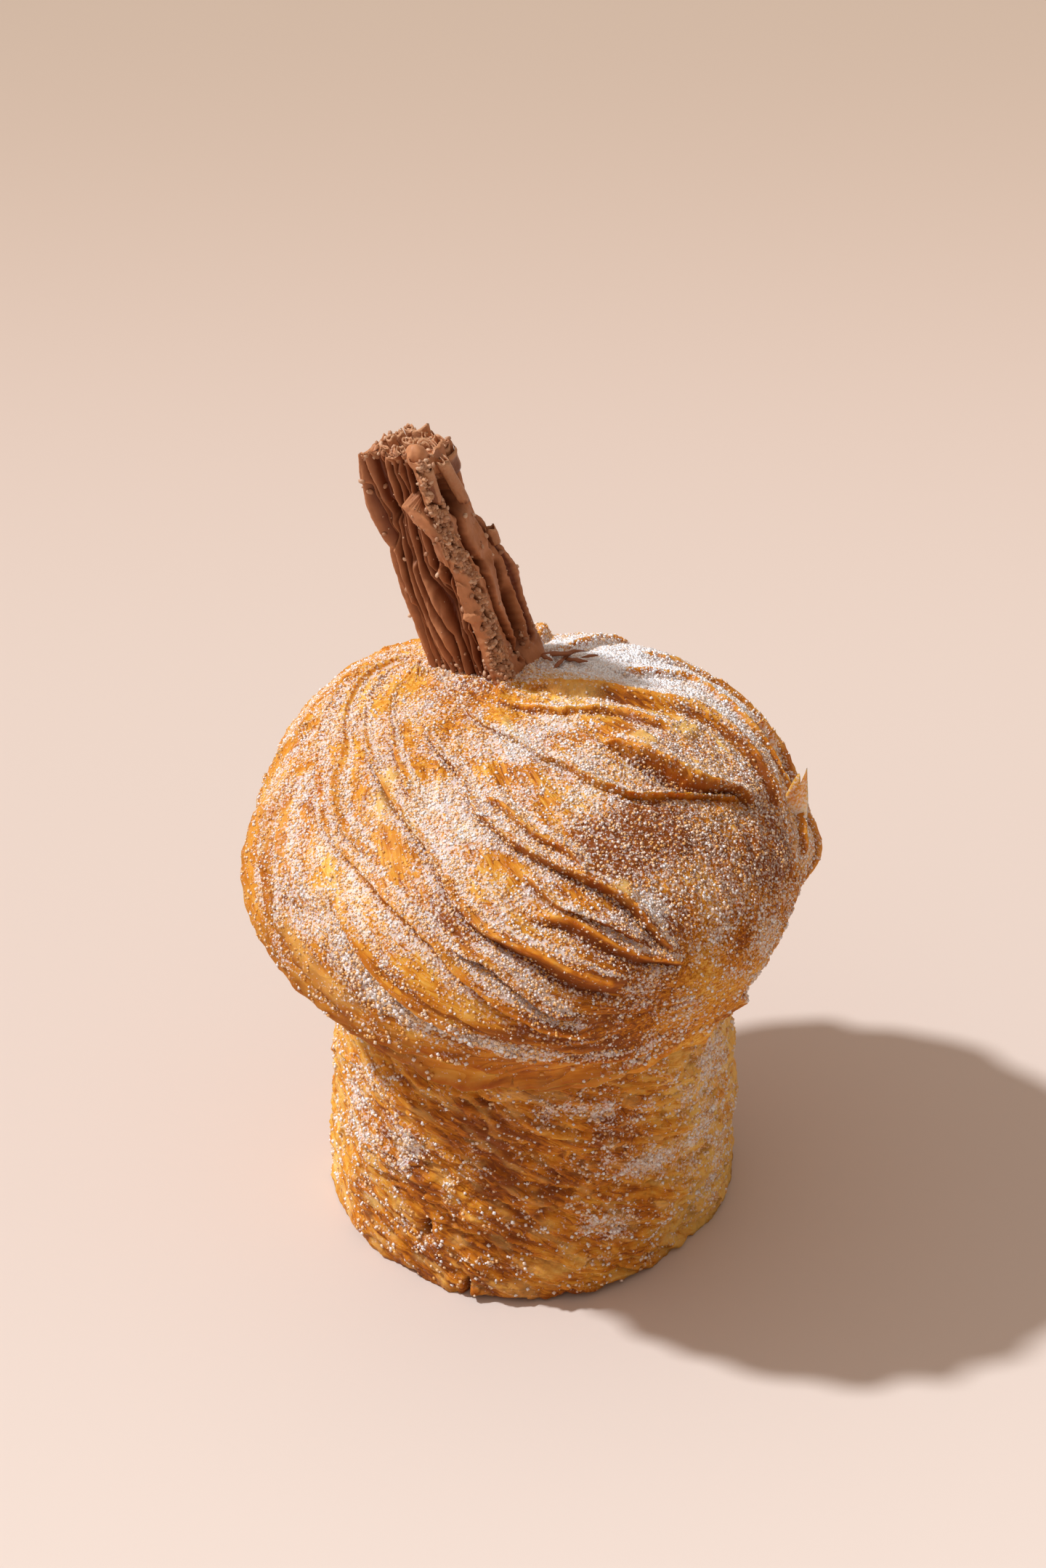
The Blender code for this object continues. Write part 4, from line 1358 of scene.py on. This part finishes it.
def stickRelief(face, share, height, place):
    # the height above the plain bar, and masks for crumbly places and for deep places, which get painted
    # shade
    tall, wide, spot = height / mm, stick["side"] / mm, place / mm
    lumps = bumps(spot, (1.0, 1.5, 9), (0.9, 0.75, 10))
    # ribs: plain pleats on the back, and the valleys seen in the photograph on the left front
    upright = asPoints(share * 2.6 + 7 * face, tall / 13, face * 1.7)
    count = share * stick["pleats"] + 0.75 * ripple(upright, 1) + 0.28 * ripple(upright * [1.8, 2.4, 1], 2)
    valley = (face == 1) * (1 - np.abs(np.sin(np.pi * count)) ** 0.6)
    relief = 0.3 * ripple(upright * [1.0, 1.1, 1], 4) - stick["pleatDepth"] / mm * valley
    deep = 1.5 * valley**1.4
    sway = 0.012 * ripple(asPoints(tall / 4, face * 3.0, 0), 18)
    for line, width, depth in stick["valleys"]:
        middle, inside = alongLine(tall, line)
        apart = (share + sway - middle) * wide
        # the right side of each rib is the steep one
        reach = np.where(apart < 0, 1.0 * width, 1.9 * width)
        cut = np.exp(-((np.abs(apart) / reach) ** 1.2)) * inside * (face == 3)
        relief -= 1.55 * depth * cut
        deep = np.maximum(deep, 1.45 * cut * min(1, 0.6 * depth))
    ribs = asPoints(share * 9, tall / 9, 0)
    relief += (face == 3) * (0.2 + 0.25 * ripple(ribs, 19) + 0.10 * ripple(ribs * [2, 4, 1], 20))
    fineRibs = 1 - np.abs(np.sin(np.pi * (share * 11 + 0.9 * ripple(ribs * [0.4, 1, 1], 24)))) ** 0.5
    fineRibs *= np.clip(0.5 + 1.3 * ripple(ribs * [0.5, 2.2, 1], 25), 0, 1) * (face == 3)
    relief -= 0.32 * fineRibs
    # painted shade on the front right face, in patches
    shaded = (face == 0) * (0.16 + 0.25 * np.clip(ripple(ribs * [0.5, 1.5, 1], 26), 0, 1))
    deep = np.maximum(np.maximum(deep, 0.5 * fineRibs), shaded)
    # drapes on the other two faces
    drape = 0.75 * ripple(asPoints(share * 2.2 + 9 * face, tall / 15, face * 2.3), 5)
    drape += 0.16 * ripple(asPoints(share * 6, tall / 5, face * 1.0), 6)
    edges = easeIn(0, 0.1, share) * (1 - easeIn(0.9, 1, share))
    relief += (face % 2 == 0) * (drape * edges - 0.1)

    jag = 0.03 * ripple(asPoints(tall / 0.9, face * 3.0, 0), 7)
    for where, middle, at, slant, width, high, depth in stick["hollows"]:
        apart = (share + jag - middle - slant * (tall - at)) * wide
        pit = np.exp(-((apart / width) ** 4) - ((tall - at) / high) ** 4) * (face == where)
        relief -= depth * pit
        deep = np.maximum(deep, 1.4 * pit)
    for where, line, width, depth, step in stick["creases"]:
        middle, inside = alongLine(tall, line)
        apart = (share + jag - middle) * wide
        inside = inside * (face == where)
        cut = bell(apart / width)
        ledge = np.where(apart > 0, np.exp(-apart / 2.6), -0.35 * np.exp(apart / 2.0))
        relief += inside * (step * ledge - depth * cut)
        deep = np.maximum(deep, inside * cut)

    # the crumbly ridge beside the front corner, full of little voids that painted shade darkens
    heights, shares, halves = np.array(stick["ridge"]).T
    unrolled = fromCorner(face, share, 3)
    across = (unrolled - np.interp(tall, heights, shares)) * wide + 0.35 * ripple(spot / 1.4, 21)
    ridge = bell(across / np.interp(tall, heights, halves), 6) * easeIn(-3, 1, tall)
    swell = bell((across + 0.1) / 1.9, 4)
    fine = ripple(spot / 0.42, 22)
    voids = easeIn(0.12, 0.42, ripple(spot / [0.85, 0.85, 1.4], 11) - 0.16 * np.abs(across))
    relief = relief * (1 - 0.85 * swell) + 0.7 * swell
    relief += ridge * (0.85 * lumps + 0.42 * fine - 2.4 * voids)
    deep = np.maximum(deep * (1 - swell), ridge * voids * 1.3)
    ragged = (unrolled + 1) * wide + 0.22 * ripple(spot / 1.1, 12)
    for corners, thick in stick["plates"]:
        inside = easeIn(-0.07, 0.07, insidePlate(corners, ragged, tall))
        relief = relief * (1 - inside) + inside * (thick + 0.6 + 0.10 * lumps + 0.05 * fine)
        deep *= 1 - inside
        ridge = ridge * (1 - 0.6 * inside)

    heights, stands = np.array(stick["leftEdge"]).T
    near = bell(fromCorner(face, share, 2) * wide / 2.2)
    relief += np.interp(tall, heights, stands) * near
    heights, stands = np.array(stick["rightEdge"]).T
    near = bell(fromCorner(face, share, 0) * wide / 3.4)
    relief += (np.interp(tall, heights, stands) + 0.12 * ripple(spot / 0.8, 23)) * near
    relief += 0.04 * ripple(spot / 0.6, 13)
    return relief * mm, np.clip(ridge, 0, 1), np.clip(deep, 0, 1)


def buildStick():
    around, rows, shown = sum(stick["around"]), stick["rows"], stick["shown"]
    obj, column, row = gridPiece("stick", around, rows + stick["topRows"])
    place, out, face, share = (part[column % around] for part in barSection())
    # rows are close together where the stick shows
    buried = np.linspace(-stick["buried"], -3 * mm, stick["buriedRows"], endpoint=False)
    above = np.linspace(-3 * mm, shown, rows + 1 - stick["buriedRows"])
    climb = np.append(buried, above)[np.minimum(row, rows)]
    wall = row <= rows
    inwards = np.clip((row - rows) / stick["topRows"], 0, 1)
    slant = stick["topSlant"] * (0.5 - place[:, 1] / stick["side"])
    solid = asPoints(place[:, 0], place[:, 1], climb + slant * easeIn(0.55 * shown, shown, climb))
    height = solid[:, 2]
    relief, crumbly, deep = stickRelief(face, share, height, solid)
    relief *= easeIn(-4 * mm, 0, height)
    points = solid.copy()
    points[:, :2] += relief[:, None] * out
    points[:, :2] *= ((1 - inwards) * (1 + stick["widening"] * (1 - easeIn(0, shown, height))))[:, None]
    # the broken end, where the rolled sheets show
    patch = asPoints(points[:, 0], points[:, 1], 0)
    reach, angle = np.linalg.norm(patch, axis=1), np.arctan2(patch[:, 1], patch[:, 0])
    wound = reach / (1.3 * mm) + angle / (2 * np.pi) + 0.8 * ripple(patch / (3.2 * mm), 14)
    walls = 1 - np.abs(np.sin(np.pi * wound)) ** 0.7
    broken = bumps(patch, (1.0, 2.6 * mm, 15), (0.45, 0.9 * mm, 16))
    ragged = 0.9 * (walls - 0.5) + broken - 1.1 * easeIn(0.03, 0.3, inwards)
    ragged = np.where(wall, 0, easeIn(0, 0.05, inwards) * ragged)
    flatEnd = shown + stick["topSlant"] * (0.5 - points[:, 1] / stick["side"])
    points[:, 2] = np.where(wall, points[:, 2], flatEnd + ragged * mm)
    rim = ripple(asPoints(solid[:, 0], solid[:, 1], 0) / (1.6 * mm), 17)
    nearEnd = easeIn(shown - 2.5 * mm, shown, climb) * (1 - easeIn(0, 0.25, inwards))
    points[:, 2] += 0.5 * mm * rim * nearEnd
    points[:, :2] += stick["offset"]
    endShare = easeIn(0, 0.04, inwards)
    return shapePiece(
        obj, onStick(points),
        crumbly=np.maximum(crumbly * (1 - endShare), 0.45 * endShare),
        # painted shade in the low places of the broken end
        deep=np.where(wall, deep, easeIn(-0.4, -1.8, ragged)),
        flow=points / [1.2 * mm, 1.2 * mm, 9 * mm],
    )


def chocolateTone():
    # brown with paler crumbs, and a warm dark painted shade deep between the sheets
    inputs = {"Place": "Vector", "Flow": "Vector", "Crumbly": "Float", "Deep": "Float"}
    group, start, end = newGroup("chocolateTone", inputs, {"Colour": "Color", "Height": "Float"})
    cloudy = speckle(group, start["Place"], 330, 3)
    along = speckle(group, start["Flow"], 1.3)
    grains = speckle(group, start["Place"], 1900)
    colour = ramp(group, weigh(group, 0, (cloudy, 0.6), (along, 0.4)), palette["chocolate"])
    pale = maths(group, "MULTIPLY", start["Crumbly"], weigh(group, -0.2, (grains, 1.6)), clamp=True)
    colour = blend(group, pale, colour, palette["crumb"])
    # painted shade where the deep mask is high
    deep = maths(group, "MULTIPLY", start["Deep"], 0.93, clamp=True)
    group.links.new(blend(group, deep, colour, palette["deepChocolate"]), end["Colour"])
    rough = maths(group, "MULTIPLY", grains, maths(group, "ADD", start["Crumbly"], 0.12))
    group.links.new(rough, end["Height"])
    return group


def chocolateMaterial():
    material, tree, shader = newMaterial("chocolate")
    masks = {label: attribute(tree, label.lower()) for label in ("Crumbly", "Deep")}
    flow = attribute(tree, "flow", "Vector")
    tone = placeGroup(tree, chocolateTone(), Place=objectPlace(tree), Flow=flow, **masks)
    tree.links.new(tone["Colour"], shader.inputs["Base Color"])
    addBump(tree, shader, tone["Height"], 0.7, 0.3 * mm)
    return material


chocolate = chocolateMaterial()
stickPiece = finishPiece(buildStick(), chocolate, "chocolate", "chocolate_stick")


# Shavings and crumbs of chocolate lying on the crown at the foot of the stick

shavings = {
    "sides": 8,
    "rows": 14,
    "arch": 0.5 * mm,
    "above": 0.35 * mm,  # how far their middles lie above the dough
    "rest": [  # middle x and y, length, width, turn and curl
        (3.2 * mm, 13.0 * mm, 5.8 * mm, 1.3 * mm, 8, 25),
        (5.6 * mm, 14.4 * mm, 5.0 * mm, 1.0 * mm, 38, -30),
        (6.3 * mm, 12.6 * mm, 4.0 * mm, 1.1 * mm, -12, 40),
        (3.9 * mm, 11.2 * mm, 3.4 * mm, 0.9 * mm, 60, 20),
        (8.6 * mm, 15.2 * mm, 3.2 * mm, 0.7 * mm, 15, 50),
        (1.8 * mm, 10.6 * mm, 2.4 * mm, 1.0 * mm, -35, 30),
    ],
}


def buildShavings():
    # tapered curled slivers, each a small tube closed at both ends
    slivers = []
    for index, (x, y, length, width, turn, curl) in enumerate(shavings["rest"]):
        obj, column, row = gridPiece("shaving", shavings["sides"], shavings["rows"])
        around = 2 * np.pi * (column % shavings["sides"]) / shavings["sides"]
        along = row / shavings["rows"]
        uneven = 0.8 + 0.5 * ripple(asPoints(along * 4, around / 3, index), 1)
        girth = width * np.sin(np.pi * along) ** 0.5 * uneven
        angle = math.radians(turn) + math.radians(curl) * (along - 0.5)
        points = asPoints(np.cos(angle), np.sin(angle), 0) * ((along - 0.5) * length)[:, None]
        points += asPoints(-np.sin(angle), np.cos(angle), 0) * (np.cos(around) * girth / 2)[:, None]
        place = capPiece.ray_cast(Vector((x, y, 0.2)), Vector((0, 0, -1)))[1]
        arch = shavings["arch"] * np.cos(np.pi * (along - 0.5))
        points[:, 2] += np.sin(around) * girth * 0.28 + arch + place.z + shavings["above"]
        points[:, :2] += (x, y)
        flow = asPoints(np.cos(around) * 2, np.sin(around) * 2, along * 3)
        # painted shade darkens the whole of each shaving
        slivers.append(shapePiece(obj, points, crumbly=0.0, deep=0.62, flow=flow))
    return joined(slivers, "shavings")


finishPiece(buildShavings(), chocolate, "chocolate")


# Rolled sheets that stick out of the broken end, and curls that have come loose from the faces

rolls = {
    "sheet": 0.26,  # millimetres thick
    "rows": 10,
    # x, y and height of the top, lean in x and y, length, radius, turns, first angle, squash and slant
    "at": [
        (3.2, 0.6, 38.4, 0.00, 0.02, 5.0, 1.90, 3.2, 30, 0.95, 0.75),
        (1.0, 3.8, 38.0, 0.03, 0.00, 4.0, 1.20, 2.0, 110, 0.8, 0.3),
        (-3.0, 4.5, 38.4, -0.05, 0.03, 4.0, 1.05, 1.5, 200, 0.85, 0.0),
        (-3.1, 2.3, 38.9, -0.06, 0.0, 4.0, 0.80, 1.4, 320, 0.9, 0.0),
        (-3.4, 0.6, 39.2, -0.05, 0.0, 4.0, 0.70, 1.2, 80, 0.9, 0.0),
        (-0.6, 1.2, 38.7, 0.0, 0.0, 4.0, 1.20, 1.8, 150, 0.7, 0.2),
        (0.8, -1.9, 39.3, 0.0, 0.0, 4.0, 1.10, 1.5, 250, 0.8, 0.3),
        (-2.4, -2.4, 39.6, 0.0, 0.0, 3.0, 0.95, 1.4, 20, 0.8, 0.0),
        (6.5, -3.9, 37.9, 0.05, 0.02, 6.0, 0.85, 1.1, 100, 0.95, 0.1),
        (6.3, -0.6, 37.3, 0.03, -0.20, 9.0, 1.20, 1.35, 340, 0.9, 0.35),
        (5.3, 5.0, 20.9, 0.05, -0.05, 3.2, 0.85, 1.1, 60, 0.9, 0.0),
        (-1.2, 4.5, 38.6, 0.0, 0.1, 3.5, 2.2, 0.35, 250, 0.5, -0.3),
        (3.0, 3.0, 37.2, 0.0, 0.0, 4.5, 1.9, 0.55, 330, 0.9, 0.3),
        (2.6, 2.4, 36.6, 0.0, 0.0, 4.5, 2.9, 0.22, 350, 1.0, 0.4),
    ],
    "dome": ((4.7, -3.1, 39.0), (1.6, 1.6, 2.3)),  # middle and half sizes of the fold at the front corner
}


def buildRolls():
    pieces = []
    for index, (x, y, top, leanX, leanY, length, radius, *shape) in enumerate(rolls["at"]):
        turns, first, squash, slant = shape
        steps = int(12 + 20 * turns)
        obj, column, row = gridPiece("roll", 2 * steps, rolls["rows"])
        outer, along = sheetSides(column, steps)
        climb = row / rolls["rows"]
        # thin towards all its edges
        thick = np.clip(6 * along * (1 - along), 0, 1) ** 0.5 * np.clip(8 * climb * (1 - climb), 0, 1) ** 0.4
        angle = math.radians(first) + 2 * np.pi * turns * along
        inner = 0.28 if turns > 1.3 else 0.85
        bumpy = 1 + 0.13 * ripple(asPoints(angle / 1.1, 1.5 * climb, 3.3 * index), 1)
        reach = radius * (inner + (1 - inner) * along) * bumpy * (0.96 + 0.08 * climb)
        reach += np.where(outer, 0.5, -0.5) * rolls["sheet"] * thick
        points = asPoints(reach * np.cos(angle), squash * reach * np.sin(angle), (climb - 1) * length)
        ragged = 0.45 * ripple(asPoints(angle * 1.3, 0, index), 2) - slant * points[:, 0]
        points[:, 2] += ragged * easeIn(0.4, 1, climb)
        points += asPoints(leanX, leanY, 0) * points[:, 2:] + [x, y, top]
        points += 0.05 * ripple(points / 0.7, 3)[:, None]
        pieces.append(shapePiece(
            obj, onStick(points * mm + [*stick["offset"], 0]),
            crumbly=0.5 + 0.5 * easeIn(0.7, 1, climb),
            # painted shade low down and inside each roll
            deep=0.8 * (1 - easeIn(0.45, 0.95, climb)) * (1 - 0.8 * outer * (along > 0.6)),
            flow=asPoints(angle, 0, points[:, 2] / 5),
        ))
    deselectAll()
    bpy.ops.mesh.primitive_uv_sphere_add(segments=40, ring_count=24, location=(0, 0, 0))
    dome = bpy.context.object
    ball = readPoints(dome)
    middle, halves = rolls["dome"]
    points = ball * (1 + 0.10 * ripple(ball * 1.6, 5))[:, None] * halves + middle
    points += 0.05 * ripple(points / 0.6, 6)[:, None]
    writePoints(dome, onStick(points * mm + [*stick["offset"], 0]))
    writeMasks(dome, crumbly=0.1, deep=0.0, flow=ball)
    bpy.ops.object.shade_smooth()
    return joined([*pieces, dome], "chocolateRolls")


finishPiece(buildRolls(), chocolate, "chocolate")


# Crumbs of chocolate that cling to the stick, most of them on its rough ridge and near its foot

crumbs = {
    "count": 2600,
    "side": (0.14 * mm, 1.0 * mm),
    "sunk": 0.15,
    "tilt": 0.6,
    "tints": [(0.0, (0.34, 0.14, 0.065)), (0.5, (0.52, 0.27, 0.15)), (1.0, (0.72, 0.46, 0.30))],
}


def buildCrumbs():
    deselectAll()
    bpy.ops.mesh.primitive_ico_sphere_add(subdivisions=1, radius=0.55, location=(0, 0, 0))
    pattern = bpy.context.object
    shape = readPoints(pattern)
    writePoints(pattern, shape * (1 + 0.3 * ripple(shape * 2.3, 4))[:, None] * [1.2, 0.9, 0.7])
    foot, above = onStick(np.array([[0, 0, 0], [0, 0, 1.0]]))
    high = (readPoints(stickPiece) - foot) @ (above - foot)
    density = readMask(stickPiece, "crumbly") ** 1.5 + 0.035 + 0.3 * (1 - easeIn(1 * mm, 5 * mm, high))
    density *= easeIn(-1 * mm, 0, high) * (1 - 0.7 * readMask(stickPiece, "deep"))
    places, out, _, draw = scatter(stickPiece, density, crumbs["count"], 33)
    small, large = crumbs["side"]
    sizes = small + (large - small) * draw.random(len(places)) ** 4
    places = places + out * (crumbs["sunk"] * sizes)[:, None]
    turns = lyingTurns(draw, out, crumbs["tilt"])
    piece = copies("chocolateCrumbs", pattern, turns, sizes, places, draw.random(len(places)))
    bpy.data.objects.remove(pattern)
    return piece


finishPiece(buildCrumbs(), tintedMaterial("chocolateCrumbs", crumbs["tints"]), "chocolate")


# Sugar: crystals lie thick on the crown and in the grooves, and thin out on cut faces and down the sides

sugar = {
    "side": (0.15 * mm, 0.40 * mm),
    "onCap": 62000,
    "onBase": 7000,
    "sunk": 0.48,  # share of its side by which a crystal lies in the dough
    "tilt": 0.42,
    "shaded": 0.16,  # painted shade: tints below this are for crystals as if shaded by others
    "tints": [
        (0.0, (0.38, 0.23, 0.16)),
        (0.1, (0.54, 0.36, 0.27)),
        (0.16, (0.80, 0.39, 0.10)),
        (0.4, (0.87, 0.58, 0.33)),
        (0.68, (0.89, 0.77, 0.71)),
        (1.0, (0.96, 0.965, 1.0)),
    ],
}


def crystalPattern():
    deselectAll()
    bpy.ops.mesh.primitive_cube_add(size=1, location=(0, 0, 0))
    pattern = bpy.context.object
    shape = readPoints(pattern)
    writePoints(pattern, shape * [1.06, 0.94, 0.86] + 0.06 * ripple(shape * 3, 1)[:, None])
    return pattern


def capDensity(points, masks, even):
    # how thick the sugar lies at each vertex of the cap
    normals = np.empty(len(points) * 3, np.float32)
    capPiece.data.vertices.foreach_get("normal", normals)
    up = normals.reshape(-1, 3)[:, 2]
    patchy = bumps(points, (1.0, 7 * mm, 21), (0.7, 2.6 * mm, 22))
    density = easeIn(-0.8, 0.45, up) * np.clip(0.45 + 0.30 * even + 0.55 * patchy * (1 - even), 0.08, 1.6)
    density *= (1 - 0.93 * np.clip(masks["rim"] * 1.25, 0, 1)) * (1 - 0.85 * masks["cut"])
    density += 0.8 * masks["hollow"] * easeIn(-0.6, 0.3, up) + 1.3 * masks["ledge"] * easeIn(-0.3, 0.4, up)
    density *= (1 - 0.8 * masks["bare"]) * (1 - 0.5 * np.clip(masks["bake"], 0, 0.7))
    density += masks["snow"] * (1 - 0.9 * masks["rim"])
    return density * easeIn(48.5 * mm, 56 * mm, points[:, 2] + 1.2 * mm * patchy)


def sugarCap(pattern, finish):
    names = ("rim", "hollow", "cut", "ledge", "bare", "bake", "snow", "turn", "run")
    masks = {name: readMask(capPiece, name) for name in names}
    even = patchMask(masks["turn"], masks["run"], cap["even"])
    density = capDensity(readPoints(capPiece), masks, even)
    writeMasks(capPiece, sugar=np.clip(density * (1 - 0.35 * even), 0, 1))
    places, out, near, draw = scatter(capPiece, density, sugar["onCap"], 31)
    count = len(places)
    small, large = sugar["side"]
    crevice = patchMask(masks["turn"][near], masks["run"][near], cap["crevice"])
    sizes = small + (large - small) * draw.random(count) ** 1.8
    # the largest crystals have rolled down to the lower edge
    sizes *= 1 + 0.6 * easeIn(62 * mm, 48 * mm, places[:, 2]) + 0.6 * crevice
    # painted light: on the sunny left the crystals take the dough's colour, as if the sun shone through them
    left = easeIn(12 * mm, -18 * mm, places[:, 0])
    places = places + out * (sizes * (0.5 - sugar["sunk"]))[:, None]
    # crystals are darker on darker dough and on painted shade, and whiter where the sugar lies thick
    tints = draw.random(count) - 0.4 * masks["bake"][near] - 0.2 * left + 0.3 * masks["snow"][near]
    tints = sugar["shaded"] + (1 - sugar["shaded"]) * np.clip(tints, 0, 1)
    # painted shade: some crystals on the shaded right and in the crevice get the darkest tints
    tints = np.where(draw.random(count) < 0.42 * even[near] + 0.2 * crevice, 0.1 * draw.random(count), tints)
    turns = lyingTurns(draw, out, sugar["tilt"])
    for index, part in enumerate(np.array_split(np.argsort(places[:, 0]), 4)):
        piece = copies(f"sugarCap{index + 1}", pattern, turns[part], sizes[part], places[part], tints[part])
        finishPiece(piece, finish, "crust")


def sugarBase(pattern, finish):
    points, snow = readPoints(basePiece), readMask(basePiece, "snow")
    patchy = bumps(points, (1.0, 5 * mm, 23), (0.8, 1.8 * mm, 24))
    drifts = snow * np.clip(1 + 1.2 * patchy, 0.1, 2)
    density = (np.clip(0.20 + 0.8 * patchy, 0.05, 2) + 1.6 * drifts) * easeIn(0.6 * mm, 3 * mm, points[:, 2])
    density *= 1 - easeIn(44 * mm, 48 * mm, points[:, 2])
    writeMasks(basePiece, sugar=np.clip(0.35 * density + 0.3 * snow, 0, 0.9))
    places, out, _, draw = scatter(basePiece, density, sugar["onBase"], 32)
    small, large = sugar["side"]
    sizes = small + (1.2 * large - small) * draw.random(len(places))
    places = places + out * (sizes * (0.5 - sugar["sunk"]))[:, None]
    turns = lyingTurns(draw, out, sugar["tilt"])
    tints = sugar["shaded"] + 0.78 * draw.random(len(places))
    finishPiece(copies("sugarBase", pattern, turns, sizes, places, tints), finish, "crust")


crystal = crystalPattern()
sugarFinish = tintedMaterial("sugar", sugar["tints"])
sugarCap(crystal, sugarFinish)
sugarBase(crystal, sugarFinish)
bpy.data.objects.remove(crystal)
